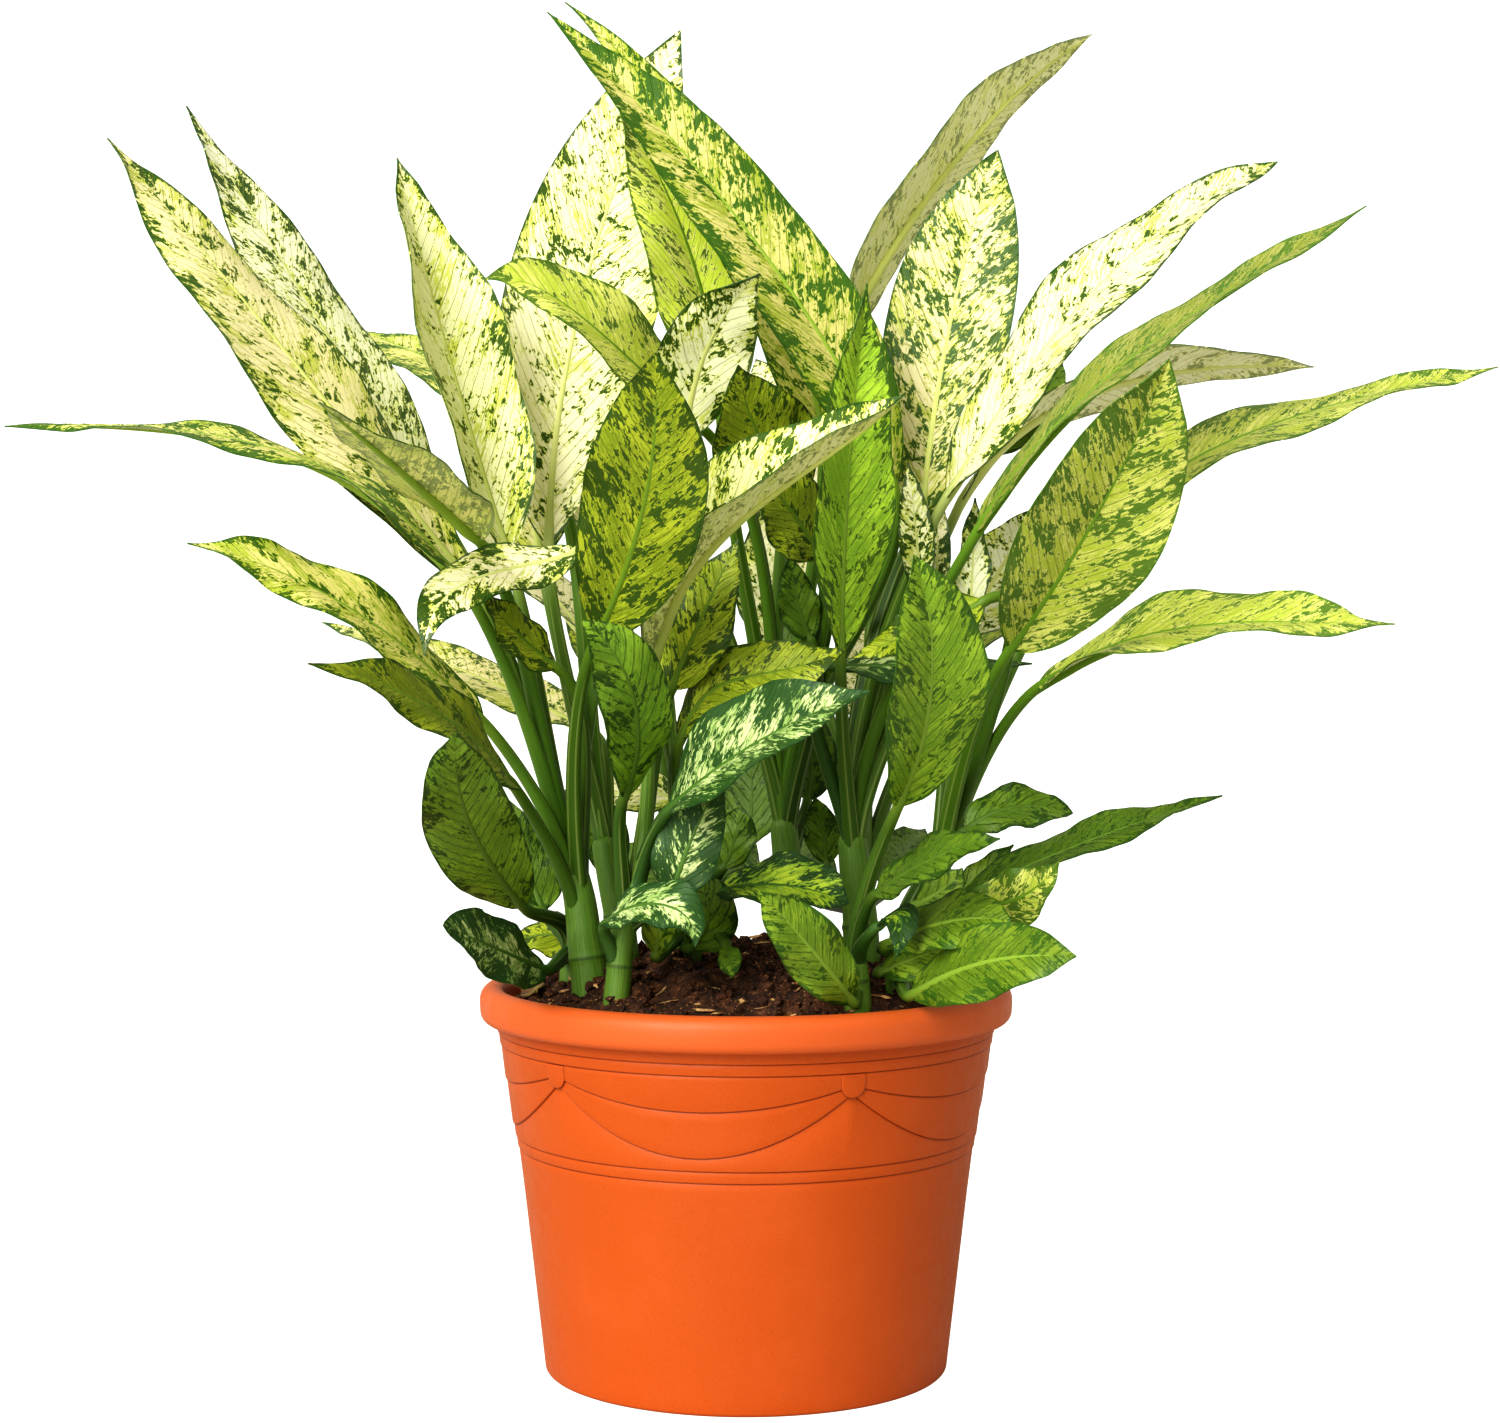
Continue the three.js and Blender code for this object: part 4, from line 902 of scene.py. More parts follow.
class Value:
    """A socket of a material's nodes that can be used in sums."""

    def __init__(self, finish, socket):
        self.finish = finish
        self.socket = socket

    __add__ = __radd__ = sum_of("ADD")
    __sub__ = sum_of("SUBTRACT")
    __rsub__ = sum_of("SUBTRACT", reflected=True)
    __mul__ = __rmul__ = sum_of("MULTIPLY")
    __truediv__ = sum_of("DIVIDE")
    __rtruediv__ = sum_of("DIVIDE", reflected=True)
    most = sum_of("MAXIMUM")

    def fraction(self):
        return self.finish.node("ShaderNodeMath", {"operation": "FRACT"}, {0: self})

    def size(self):
        return self.finish.node("ShaderNodeMath", {"operation": "ABSOLUTE"}, {0: self})

    def ramp(self, low, high, start=0.0, end=1.0):
        """Eases from start to end as the value goes from low to high."""
        return self.finish.node(
            "ShaderNodeMapRange", {"interpolation_type": "SMOOTHSTEP"},
            {0: self, 1: low, 2: high, 3: start, 4: end})


class Nodes:
    """A node tree that nodes are added to."""

    def __init__(self, tree):
        self.tree = tree
        tree.nodes.clear()

    def node(self, kind, settings=None, inputs=None, output=0):
        """Any node: its settings first, then the values or links of its sockets."""
        made = self.tree.nodes.new(kind)
        for name, value in (settings or {}).items():
            setattr(made, name, value)
        for key, value in (inputs or {}).items():
            self.feed(made.inputs[key], value)
        return Value(self, made.outputs[output]) if len(made.outputs) else None

    def feed(self, socket, value):
        if isinstance(value, Value):
            self.tree.links.new(value.socket, socket)
        else:
            socket.default_value = value


class Finish(Nodes):
    """A material and its nodes."""

    def __init__(self, name):
        self.material = bpy.data.materials.new(name)
        self.material.use_nodes = True
        super().__init__(self.material.node_tree)
        self.shader = self.node("ShaderNodeBsdfPrincipled")
        self.surface = self.shader.socket.node
        self.output = self.tree.nodes.new("ShaderNodeOutputMaterial")
        self.show(self.shader)

    def show(self, shader):
        """What the material's output takes."""
        self.feed(self.output.inputs["Surface"], shader)

    def set(self, **values):
        """Feeds the surface's sockets, named with underscores for spaces."""
        for name, value in values.items():
            self.feed(self.surface.inputs[name.replace("_", " ")], value)

    def position(self):
        return self.node("ShaderNodeTexCoord", output="Object")

    def parts(self, vector):
        split = self.tree.nodes.new("ShaderNodeSeparateXYZ")
        self.tree.links.new(vector.socket, split.inputs[0])
        return tuple(Value(self, split.outputs[k]) for k in range(3))

    def point(self, x, y, z=0.0):
        return self.node("ShaderNodeCombineXYZ", None, {0: x, 1: y, 2: z})

    def map(self, name):
        return self.parts(self.node("ShaderNodeUVMap", {"uv_map": name}))[:2]

    def layer(self, name, output="Color"):
        return self.node("ShaderNodeAttribute", {"attribute_name": name}, None, output)

    def noise(self, vector, scale=1.0, detail=2.0, roughness=0.5, distortion=0.0):
        return self.node("ShaderNodeTexNoise", None, {
            "Vector": vector, "Scale": scale, "Detail": detail,
            "Roughness": roughness, "Distortion": distortion})

    def mix(self, first, second, share, blend="MIX"):
        return self.node(
            "ShaderNodeMix", {"data_type": "RGBA", "blend_type": blend, "clamp_factor": True},
            {0: share, 6: first, 7: second}, 2)

    def bump(self, height, distance, strength=1.0):
        self.set(Normal=self.node(
            "ShaderNodeBump", None, {"Height": height, "Distance": distance, "Strength": strength}, "Normal"))


def leaf_finish(name, under):
    """Flecked leaf skin. Flecks and blotches lie along the side veins and crowd at the margin, and painted
    shade darkens the side veins' grooves.
    """
    skin = Finish(name)
    run, out = skin.map("Vein")
    across, edge = skin.map("Place")
    half = across.ramp(-0.00001, 0.00001, -3.0, 3.0)
    flecks, blotches, crowd = skin.parts(skin.layer("Amounts", "Vector"))
    soft = skin.layer("Amounts", "Alpha")
    ground = skin.layer("Ground")
    blotch = skin.layer("Blotch")
    fleck = skin.layer("Fleck")

    region = skin.noise(skin.point(run * 42, out * 56, half + 7.0), detail=2.0)
    near_edge = edge.ramp(0.0, 0.012, 1.0, 0.0)
    patch = skin.noise(skin.point(run * 60, out * 20, half + 3.0), detail=2.0)
    crowding = (region - 0.5) * 0.75 + near_edge * crowd * (patch * 2.2 - 0.35) + flecks
    blobs = skin.noise(skin.point(run * 200, out * 215, half), detail=3.0, roughness=0.6, distortion=0.7)
    specks = skin.noise(skin.point(run * 480, out * 480, half + 5.0), detail=2.0, roughness=0.6)
    lace = blobs + (specks - 0.5) * 0.34 + crowding
    loose = specks + (blobs - 0.5) * 0.3 + crowding * 0.7
    dark = lace.ramp(0.64 - soft, 0.64 + soft).most(loose.ramp(0.70 - soft, 0.70 + soft))
    halo = lace.most(loose - 0.06).ramp(0.54, 0.63)

    stroke = skin.noise(skin.point(run * 520, out * 170, half + 13.0), detail=3.0, roughness=0.6)
    drift = skin.noise(skin.point(run * 46, out * 30, half + 11.0), detail=2.0)
    tone = stroke * 0.7 + drift * 0.7 + near_edge * 0.06 + (blotches - 0.5) * 0.45
    tone = tone.ramp(0.69 - soft, 0.76 + soft)
    colour = skin.mix(ground, blotch, tone * 0.8)
    colour = skin.mix(colour, blotch, halo * 0.75)
    colour = skin.mix(colour, fleck, dark * 0.96)

    fine = skin.noise(skin.point(run * 900, out * 40, half + 2.0), detail=2.0)
    colour = skin.mix(colour, blotch, fine.ramp(0.2, 0.48, 0.2, 0.0))
    wander = skin.noise(skin.point(run * 35, out * 60, half + 9.0)) * 0.4
    wave = ((run / (VEIN_SPACING * MM) + wander).fraction() - 0.5).size() * 2
    vein = wave.ramp(0.86, 1.0)
    # Painted shade in the side veins' grooves, strongest on the sorts with the softest markings
    crease_shade = wave.ramp(0.6, 1.0) * soft * drift.ramp(0.35, 0.6, 1.5, 7.0)
    colour = skin.mix(colour, fleck, crease_shade)
    colour = skin.mix(colour, blotch, vein * (0.3 - soft * 4.0))

    rough_edge = (skin.noise(skin.point(run * 150, out * 60, half + 4.0)) - 0.42) * 0.008 + 0.0003
    margin = (edge - rough_edge).ramp(-0.0003, 0.0004, 1.0, 0.0)
    colour = skin.mix(colour, fleck, margin * 0.9)
    if under:
        colour = skin.mix(colour, paint(238, 238, 180), 0.4)
    skin.set(
        Base_Color=colour, Roughness=fine.ramp(0.2, 0.8, 0.36, 0.5) if not under else 0.55,
        Specular_IOR_Level=0.4)
    height = vein * -0.6 + fine * 0.35 + dark * 0.1
    skin.bump(height, 0.0009, 0.75)
    return skin.material


def stalk_finish():
    """Smooth green stalk skin with pale lines along it, paler along the midrib, and darkened towards its foot
    with painted shade.
    """
    skin = Finish("leaf_stalk")
    run, turn = skin.map("Vein")
    station, round_it = skin.map("Place")
    stalk = skin.layer("Ground")
    rib = skin.layer("Blotch")
    colour = skin.mix(stalk, rib, station.ramp(-0.25, 0.2))
    lines = skin.noise(skin.point(run * 9, turn * 1500), detail=3.0, roughness=0.6)
    colour = skin.mix(colour, rib, lines.ramp(0.5, 0.75, 0.0, 0.4))
    colour = skin.mix(colour, skin.layer("Fleck"), lines.ramp(0.25, 0.46, 0.5, 0.0))
    # Painted shade: the stalk darkens towards its foot
    colour = skin.mix(colour, skin.layer("Fleck"), station.ramp(-1.0, -0.45, 0.45, 0.0))
    lip = ((round_it - 0.2).size()).ramp(0.02, 0.06, 0.28, 0.0) * station.ramp(-0.3, -0.1, 1.0, 0.0)
    colour = skin.mix(colour, paint(196, 206, 130), lip)
    skin.set(Base_Color=colour, Roughness=0.42, Specular_IOR_Level=0.35)
    skin.bump(lines, 0.0004, 0.5)
    return skin.material


def cane_finish():
    """Cane skin: green with faint pale streaks and a dark ring at the leaf scar near the soil."""
    skin = Finish("cane")
    run, turn = skin.map("Vein")
    _, ring = skin.map("Place")
    streak = skin.noise(skin.point(run * 16, turn * 1100), detail=3.0, roughness=0.6)
    colour = skin.mix(skin.layer("Ground"), skin.layer("Blotch"), streak.ramp(0.45, 0.75, 0.0, 0.6))
    mottle = skin.noise(skin.point(run * 120, turn * 900), detail=3.0)
    colour = skin.mix(colour, skin.layer("Fleck"), mottle.ramp(0.5, 0.72, 0.0, 0.4))
    colour = skin.mix(colour, paint(46, 62, 18), ring.ramp(0.0005, 0.0014, 0.6, 0.0))
    skin.set(Base_Color=colour, Roughness=0.55)
    skin.bump(streak * 0.6 + mottle * 0.4, 0.0006, 0.6)
    return skin.material


def pot_finish(colour):
    """Moulded plastic: even colour with fine specks, a soft sheen and faint scuffs, a painted highlight on
    the rim and painted shade in the grooves of the relief and round the knobs.
    """
    skin = Finish("pot_plastic")
    at = skin.position()
    speck = skin.noise(at, 1500.0, 2.0, 0.6)
    cloud = skin.noise(at, 14.0, 3.0, 0.55)
    scuff = skin.noise(at, 90.0, 5.0, 0.7, 0.6)
    deep = tuple(0.62 * part for part in colour[:3]) + (1.0,)
    light = tuple(min(1.0, 1.25 * part + 0.03) for part in colour[:3]) + (1.0,)
    shown = skin.mix(tuple(colour), deep, speck.ramp(0.56, 0.74, 0.0, 0.5))
    shown = skin.mix(shown, light, speck.ramp(0.26, 0.42, 0.35, 0.0))
    shown = skin.mix(shown, light, cloud.ramp(0.45, 0.75, 0.0, 0.2))
    height = skin.parts(at)[2]
    low = height.ramp(0.0, 0.03, 1.0, 0.0)
    shown = skin.mix(shown, paint(170, 110, 80), scuff.ramp(0.58, 0.75, 0.0, 0.3) * low)
    # Painted highlight: the top of the rim is lightened towards the paler plastic colour
    shown = skin.mix(shown, light, height.ramp(0.1755, 0.18, 0.0, 0.6))
    # Painted shade: dark brown in the grooves of the relief and round the knobs' feet
    groove_and_shade = skin.parts(skin.layer("GrooveShade", "Vector"))[0]
    shown = skin.mix(shown, paint(96, 34, 14), groove_and_shade.ramp(0.4, 1.0) * 0.62)
    skin.set(Base_Color=shown, Roughness=scuff.ramp(0.3, 0.7, 0.42, 0.54), Specular_IOR_Level=0.35)
    skin.bump(speck * 0.7 + scuff * 0.3, 0.00025, 0.35)
    return skin.material


def soil_finish(colour):
    """Dark crumbly soil, with lighter crumbs and a grain at several scales."""
    skin = Finish("potting_soil")
    at = skin.position()
    lump = skin.noise(at, 140.0, 5.0, 0.7)
    grain = skin.noise(at, 700.0, 4.0, 0.7)
    dark = tuple(0.28 * part for part in colour[:3]) + (1.0,)
    pale = paint(168, 118, 76)
    shown = skin.mix(dark, tuple(colour), lump.ramp(0.42, 0.68))
    shown = skin.mix(shown, pale, grain.ramp(0.57, 0.66, 0.0, 0.9))
    skin.set(Base_Color=shown, Roughness=0.95)
    skin.bump(lump * 0.6 + grain * 0.5, 0.0015, 0.8)
    return skin.material


def chip_finish():
    """Pale wood fibre."""
    skin = Finish("wood_chip")
    at = skin.position()
    tone = skin.noise(at, 260.0, 3.0, 0.6)
    shown = skin.mix(paint(112, 70, 42), paint(206, 166, 112), tone.ramp(0.35, 0.6))
    skin.set(Base_Color=shown, Roughness=0.8)
    return skin.material


def dry_finish():
    """Dry leaf skin: brown with olive patches and fine dark specks."""
    skin = Finish("dry_leaf_skin")
    at = skin.position()
    tone = skin.noise(at, 90.0, 4.0, 0.65)
    fine = skin.noise(at, 900.0, 3.0, 0.6)
    shown = skin.mix(paint(104, 66, 38), paint(128, 116, 52), tone.ramp(0.4, 0.62))
    shown = skin.mix(shown, paint(74, 40, 24), fine.ramp(0.5, 0.75, 0.0, 0.6))
    skin.set(Base_Color=shown, Roughness=0.6)
    skin.bump(fine * 0.4 + tone * 0.6, 0.0008, 0.7)
    return skin.material


class PLANT_OT_stage(bpy.types.Operator):
    """Adds the camera, the pale floor and the soft lights"""
    bl_idname = "plant.stage"
    bl_label = "Stage"

    def execute(self, context):
        stage = context.scene.plant_stage
        deselect()
        bpy.ops.object.camera_add(
            location=(EYE_ACROSS * MM, -EYE_DISTANCE * MM, EYE_HEIGHT * MM),
            rotation=(math.radians(90 - EYE_PITCH_DEG), 0, 0))
        camera = context.object
        camera.name = "camera"
        camera.data.lens = LENS_MM
        camera.data.sensor_width = SENSOR_MM
        context.scene.camera = camera
        context.scene.view_settings.view_transform = "Standard"
        context.scene.view_settings.look = "High Contrast"

        bpy.ops.mesh.primitive_plane_add(size=stage.floor_size)
        floor = context.object
        floor.name = "floor"
        pale = Finish("pale_floor")
        pale.set(Base_Color=(0.56, 0.55, 0.5, 1), Roughness=0.9)
        glow = pale.node("ShaderNodeEmission", None, {"Strength": FLOOR_GLOW})
        pale.show(pale.node("ShaderNodeMixShader", None, {
            0: pale.node("ShaderNodeLightPath") * FLOOR_GLOW_SHARE, 1: pale.shader, 2: glow}))
        floor.data.materials.append(pale.material)

        world = bpy.data.worlds.new("white_surround")
        context.scene.world = world
        world.use_nodes = True
        surround = Nodes(world.node_tree)
        looked_at = surround.node("ShaderNodeLightPath")
        warm = surround.node("ShaderNodeMix", {"data_type": "RGBA"}, {
            0: looked_at, 6: (1.0, 0.985, 0.88, 1.0), 7: (1.0, 1.0, 1.0, 1.0)}, 2)
        white = surround.node("ShaderNodeBackground", None, {
            "Color": warm, "Strength": looked_at * (1 - stage.sky) + stage.sky})
        surround.node("ShaderNodeOutputWorld", None, {"Surface": white})
        self.sun("key", KEY_FROM, stage.key_strength)
        self.sun("front", FRONT_FROM, stage.front_strength)
        return {"FINISHED"}

    @staticmethod
    def sun(name, towards, strength):
        """A soft light that comes evenly from one side."""
        bpy.ops.object.light_add(type="SUN")
        light = bpy.context.object
        light.name = name
        light.data.energy = strength
        light.data.angle = math.radians(SUN_WIDTH_DEG)
        light.rotation_euler = Vector(towards).to_track_quat("Z", "Y").to_euler()


class PLANT_OT_pot(bpy.types.Operator):
    """Makes the pot with its rolled rim, ledges and garland"""
    bl_idname = "plant.pot"
    bl_label = "Pot"

    def execute(self, context):
        settings = context.scene.plant_pot
        rows, shape = pot_shape(settings.relief)
        wall = grid_piece("pot_wall", settings.columns, rows - 1, shape)
        close_seams(wall)
        point_outwards()
        pieces = [wall]
        for k in range(SWAGS):
            bearing = math.radians(FIRST_KNOB_DEG) + 2 * math.pi * k / SWAGS
            pieces.append(self.knob(bearing, settings.relief))
        pot = joined(pieces, "flowerpot")
        pot.data.materials.append(pot_finish(settings.colour))
        smoothed(pot, 40)
        placed(pot, "pot_plastic", "pot")
        return {"FINISHED"}

    @staticmethod
    def knob(bearing, relief):
        """A tab that hangs from the upper band, square above and round below, with softened edges."""
        half = KNOB_WIDTH / 2
        deselect()
        bpy.ops.mesh.primitive_circle_add(vertices=40, radius=1, fill_type="NGON")
        knob = bpy.context.object
        for vertex in knob.data.vertices:
            x, y = vertex.co.x, vertex.co.y
            if y > 0:
                reach = max(abs(x), abs(y))
                x, y = x / reach, y / reach * (KNOB_TOP - KNOB_BOTTOM - half) / half
            vertex.co = (x * half * MM, 0, (KNOB_BOTTOM + half + y * half) * MM)
        bpy.ops.object.mode_set(mode="EDIT")
        bpy.ops.mesh.select_all(action="SELECT")
        bpy.ops.mesh.extrude_region_move(TRANSFORM_OT_translate={"value": (0, -KNOB_DEPTH * MM, 0)})
        for thickness, depth in KNOB_EDGES:
            bpy.ops.mesh.inset(thickness=thickness * MM, depth=depth * MM)
        bpy.ops.object.mode_set(mode="OBJECT")
        point_outwards()
        foot = []
        for vertex in knob.data.vertices:
            x, y, z = vertex.co / MM
            radius = wall_radius(z) + BAND * relief - y - KNOB_SUNK
            spin = bearing + x / KNOB_BEND_RADIUS
            vertex.co = (radius * math.sin(spin) * MM, -radius * math.cos(spin) * MM, z * MM)
            # Vertices near the wall are marked 1 for painted shade round the knob's outline, the knob's face
            # 0
            foot.append(1.0 if y > -KNOB_FACE else 0.0)
        layer = knob.data.color_attributes.new(name="GrooveShade", type="FLOAT_COLOR", domain="POINT")
        layer.data.foreach_set("color", np.repeat(foot, 4).astype(np.float32))
        return knob


class PLANT_OT_soil(bpy.types.Operator):
    """Makes the soil with its crumbs and chips"""
    bl_idname = "plant.soil"
    bl_label = "Soil"

    def execute(self, context):
        settings = context.scene.plant_soil
        rng = np.random.default_rng(SOIL_SEED)
        waves = [(rng.uniform(0, 2 * np.pi), rng.uniform(0, 2 * np.pi), length)
                 for length in LUMP_LENGTHS for _ in range(3)]

        def lumps(x, y):
            total = np.zeros_like(x)
            for heading, start, length in waves:
                course = x * math.cos(heading) + y * math.sin(heading)
                total += length / 40 * np.sin(2 * np.pi * course / length + start)
            return total

        below = [(0, FLOOR + SOIL_GAP), (94, FLOOR + SOIL_GAP), SOIL_CORNER,
                 (wall_radius(WALL_BEND) - WALL - SOIL_GAP, WALL_BEND), (SOIL_RADIUS - 0.6, 176)]
        top = list(np.linspace(SOIL_RADIUS, 0, 72))

        def shape(u, v):
            bearing = np.pi * v
            number = np.rint(u * (len(below) + len(top) - 1)).astype(int)
            radius = np.array([r for r, _ in below] + top)[number]
            height = np.array([z for _, z in below] + [soil_height(r) - SOIL_SUNK for r in top])[number]
            x, y = radius * np.sin(bearing), -radius * np.cos(bearing)
            on_top = (number >= len(below)) * np.clip((SOIL_RADIUS - radius) / SOIL_MARGIN, 0, 1)
            height = height + on_top * self.raised(lumps(x, y), settings)
            return np.stack([x, y, height], axis=-1) * MM, {}, {}

        dome = grid_piece("soil_dome", 220, len(below) + len(top) - 1, shape)
        close_seams(dome)
        point_outwards()
        dome.data.materials.append(soil_finish(settings.colour))
        crumbs = [self.crumb(rng, lumps, settings) for _ in range(settings.crumbs)]
        chips = [self.chip(rng, lumps, settings) for _ in range(settings.fibres)]
        loose = self.loose_mesh("crumbs", crumbs, dome.data.materials[0])
        pale = self.loose_mesh("chips", chips, chip_finish())
        soil = joined([dome, loose, pale], "potting_soil")
        smoothed(soil, 60)
        placed(soil, "soil", "soil")
        return {"FINISHED"}

    @staticmethod
    def raised(lump, settings):
        return lump * settings.roughness / MM * LUMP_SHARE + SOIL_RAISED

    def surface(self, x, y, lumps, settings):
        """The height of the lumpy soil at a place."""
        out = math.hypot(x, y)
        rise = min(1.0, (SOIL_RADIUS - out) / SOIL_MARGIN)
        lump = float(lumps(np.array([x]), np.array([y]))[0])
        return soil_height(out) - SOIL_SUNK + rise * self.raised(lump, settings)

    def spot(self, rng, lumps, settings):
        """A place on the soil, drawn evenly over it."""
        out = (SOIL_RADIUS - 3) * math.sqrt(rng.uniform(0, 1))
        bearing = rng.uniform(0, 2 * math.pi)
        x, y = out * math.sin(bearing), -out * math.cos(bearing)
        return np.array([x, y, self.surface(x, y, lumps, settings)])

    def crumb(self, rng, lumps, settings):
        """A lumpy crumb: an octahedron's corners and face middles, each at its own distance."""
        size = 0.8 + 3.4 * rng.uniform(0, 1) ** 2.5
        corners = np.array(
            [(1, 0, 0), (-1, 0, 0), (0, 1, 0), (0, -1, 0), (0, 0, 1), (0, 0, -1)], dtype=float)
        middles = np.array([(a, b, c) for a in (1, -1) for b in (1, -1) for c in (1, -1)]) / math.sqrt(3)
        points = np.vstack([corners, middles]) * rng.uniform(0.7, 1.25, (14, 1)) * size
        points = points * rng.uniform(0.7, 1.2, 3)
        faces = []
        for m, middle in enumerate(middles):
            i, j, k = (2 * axis + (middle[axis] <= 0) for axis in range(3))
            ring = [i, j, k] if np.prod(middle) > 0 else [i, k, j]
            faces += [(ring[0], ring[1], 6 + m), (ring[1], ring[2], 6 + m), (ring[2], ring[0], 6 + m)]
        return (points + self.spot(rng, lumps, settings) + (0, 0, size * 0.25)) * MM, faces

    def chip(self, rng, lumps, settings):
        """A bent splinter with five rings of three corners and pointed ends."""
        length, thick = rng.uniform(3, 13), rng.uniform(0.45, 1.1)
        heading, tilt, bend = rng.uniform(0, 2 * math.pi), rng.uniform(-0.25, 0.35), rng.uniform(-2, 2)
        flat = math.cos(tilt)
        along = np.array([math.cos(heading) * flat, math.sin(heading) * flat, math.sin(tilt)])
        side = np.array([-math.sin(heading), math.cos(heading), 0])
        up = np.cross(along, side)
        points = []
        for s in (0.0, 0.25, 0.5, 0.75, 1.0):
            centre = along * length * (s - 0.5) + side * bend * (1 - (2 * s - 1) ** 2)
            reach = thick * (0.35 if s in (0.0, 1.0) else 1.0)
            for corner in range(3):
                angle = 2 * math.pi * corner / 3
                points.append(centre + reach * (math.cos(angle) * side * 1.4 + math.sin(angle) * up * 0.7))
        faces = [(0, 2, 1), (12, 13, 14)]
        for ring in range(4):
            for corner in range(3):
                a, b = ring * 3 + corner, ring * 3 + (corner + 1) % 3
                faces.append((a, b, b + 3, a + 3))
        return (np.array(points) + self.spot(rng, lumps, settings) + (0, 0, 1.1)) * MM, faces

    @staticmethod
    def loose_mesh(name, shapes, material):
        """One object of many small shapes."""
        mesh = bpy.data.meshes.new(name)
        points, faces, start = [], [], 0
        for corners, sides in shapes:
            points.extend(corners.tolist())
            faces.extend([tuple(start + k for k in side) for side in sides])
            start += len(corners)
        mesh.from_pydata(points, [], faces)
        piece = bpy.data.objects.new(name, mesh)
        bpy.context.collection.objects.link(piece)
        mesh.materials.append(material)
        pick(piece)
        point_outwards()
        return piece


class PLANT_OT_dry_leaf(bpy.types.Operator):
    """Makes the dry leaf on the soil"""
    bl_idname = "plant.dry_leaf"
    bl_label = "Dry leaf"

    def execute(self, context):
        bearing = math.radians(DRY_LEAF_BEARING_DEG)
        out = np.array([math.sin(bearing), -math.cos(bearing), 0.0])
        along = np.array([math.cos(bearing), math.sin(bearing), 0.0])
        outwards, down = DRY_LEAF_SLOPE
        slope = unit(out * outwards - np.array([0, 0, down]))
        up = np.cross(slope, along)
        centre = out * DRY_LEAF_RADIUS + np.array([0, 0, DRY_LEAF_HEIGHT])

        def shape(u, v):
            half = DRY_LEAF_HALF_WIDTH * np.sqrt(np.sin(np.pi * np.clip(u, 0.004, 0.996)))
            curl = 1.7 * (2 * u - 1) ** 2 + 1.4 * v ** 2 + 0.35 * np.sin(9 * u + 3 * v)
            places = (centre + along * (DRY_LEAF_LENGTH * (u - 0.5))[:, None]
                      + slope * (half * v)[:, None] + up * (curl + 0.5)[:, None])
            return places * MM, {}, {}

        leaf = grid_piece("dry_leaf_blade", 20, 44, shape)
        make_solid(leaf, DRY_LEAF_THICKNESS * MM)
        leaf.data.materials.append(dry_finish())
        leaf = joined([leaf], "fallen_leaf")
        smoothed(leaf)
        placed(leaf, "dry_leaf", "dry_leaf")
        return {"FINISHED"}


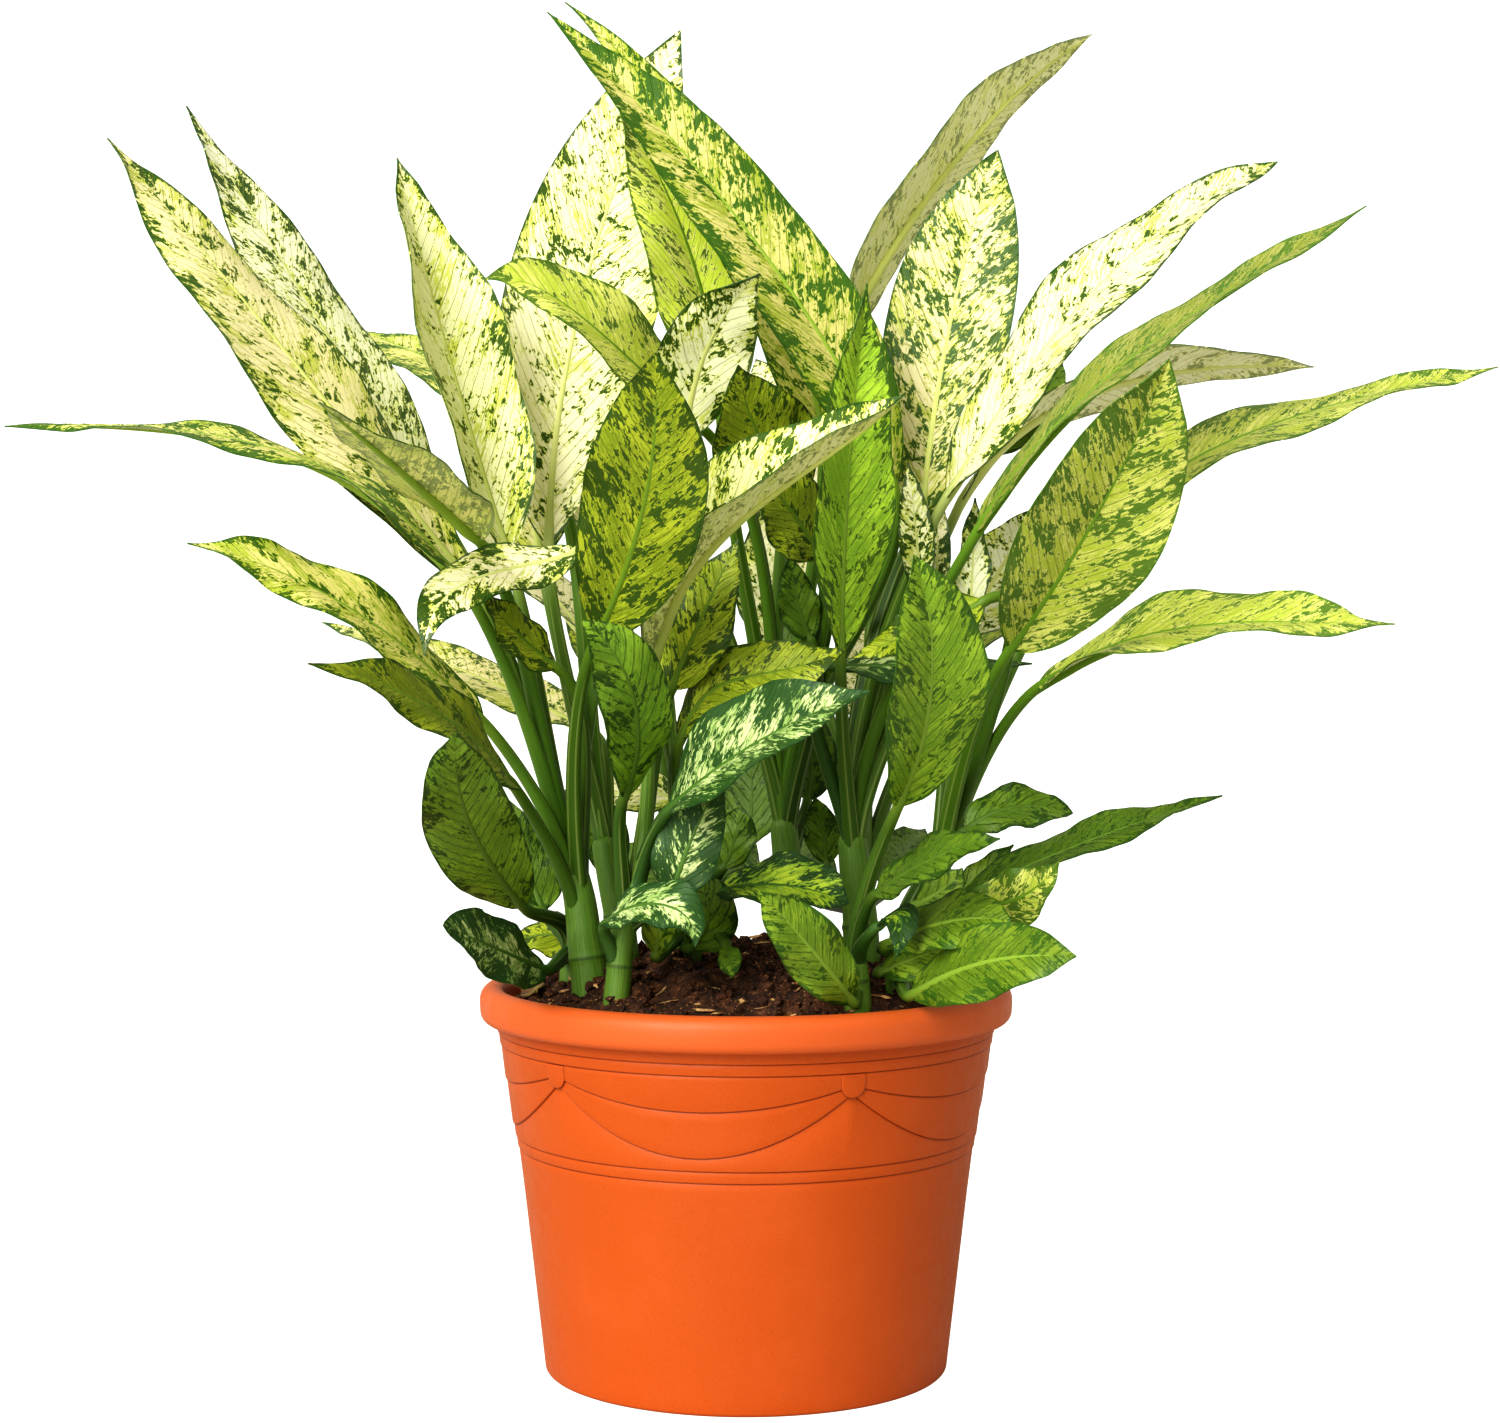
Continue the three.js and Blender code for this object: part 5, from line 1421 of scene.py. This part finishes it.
class PLANT_OT_leafy_stems(bpy.types.Operator):
    """Makes each cane with its stalks, and its blades"""
    bl_idname = "plant.leafy_stems"
    bl_label = "Leafy stems"

    def execute(self, context):
        settings = context.scene.plant_foliage
        upper = leaf_finish("leaf_upper", False)
        under = leaf_finish("leaf_under", True)
        stalk = stalk_finish()
        skin = cane_finish()
        for number, leaf in enumerate(LEAVES):
            leaf["number"] = number
            leaf["seed"] = number * 1.7
        for number, (name, shoot) in enumerate(SHOOTS.items()):
            points = [seen(point) for point in shoot["points"]]
            blades = []
            cane = close_seams(grid_piece("cane", 20, 60, cane_shape(shoot, number)))
            cane.data.materials.append(skin)
            stems = [cane]
            for leaf in LEAVES:
                if leaf["on"] == name:
                    path = LeafPath(leaf, points)
                    blades.append(self.blade(leaf, path, settings, upper, under))
                    stem = close_seams(grid_piece("stalk", 12, 70, stalk_shape(leaf, path)))
                    stem.data.materials.append(stalk)
                    stems.append(stem)
            foliage = joined(blades, f"blades_{name}")
            smoothed(foliage)
            placed(foliage, "foliage", f"leafy_stem_{name}")
            stem = joined(stems, f"stems_{name}")
            point_outwards()
            smoothed(stem)
            placed(stem, "foliage", f"leafy_stem_{name}")
        return {"FINISHED"}

    @staticmethod
    def blade(leaf, path, settings, upper, under):
        """A leaf's blade, with faces of about the size that is set."""
        length = path.run[-1]
        rows = max(16, round(length / settings.face_size))
        columns = 2 * max(4, round(leaf["width"] * MM / settings.face_size / 2 * 0.8))
        blade = grid_piece("blade", columns, rows, blade_shape(leaf, path, settings))
        blade.data.materials.append(upper)
        blade.data.materials.append(under)
        make_solid(blade, settings.thickness)
        return blade


class PLANT_PT_panel(bpy.types.Panel):
    """Lists the plant's pieces"""
    bl_label = "Potted dieffenbachia"
    bl_idname = "PLANT_PT_panel"
    bl_space_type = "VIEW_3D"
    bl_region_type = "UI"
    bl_category = "Plant"

    def draw(self, context):
        layout = self.layout
        scene = context.scene
        for settings in (scene.plant_pot, scene.plant_soil, scene.plant_foliage, scene.plant_stage):
            column = layout.column()
            for name in settings.bl_rna.properties.keys():
                if name not in ("rna_type", "name"):
                    column.prop(settings, name)
        for operator in PIECES:
            layout.operator(operator.bl_idname)


PIECES = (PLANT_OT_stage, PLANT_OT_pot, PLANT_OT_soil, PLANT_OT_dry_leaf, PLANT_OT_leafy_stems)
SETTINGS = {
    "plant_pot": PotSettings,
    "plant_soil": SoilSettings,
    "plant_foliage": FoliageSettings,
    "plant_stage": StageSettings,
}


def register():
    for cls in (*SETTINGS.values(), *PIECES, PLANT_PT_panel):
        bpy.utils.register_class(cls)
    for name, cls in SETTINGS.items():
        setattr(bpy.types.Scene, name, bpy.props.PointerProperty(type=cls))


def unregister():
    for name in SETTINGS:
        delattr(bpy.types.Scene, name)
    for cls in (PLANT_PT_panel, *reversed(PIECES), *reversed(SETTINGS.values())):
        bpy.utils.unregister_class(cls)


def main():
    register()
    bpy.ops.plant.stage()
    bpy.ops.plant.pot()
    bpy.ops.plant.soil()
    bpy.ops.plant.dry_leaf()
    bpy.ops.plant.leafy_stems()
    deselect()


if __name__ == "__main__":
    main()
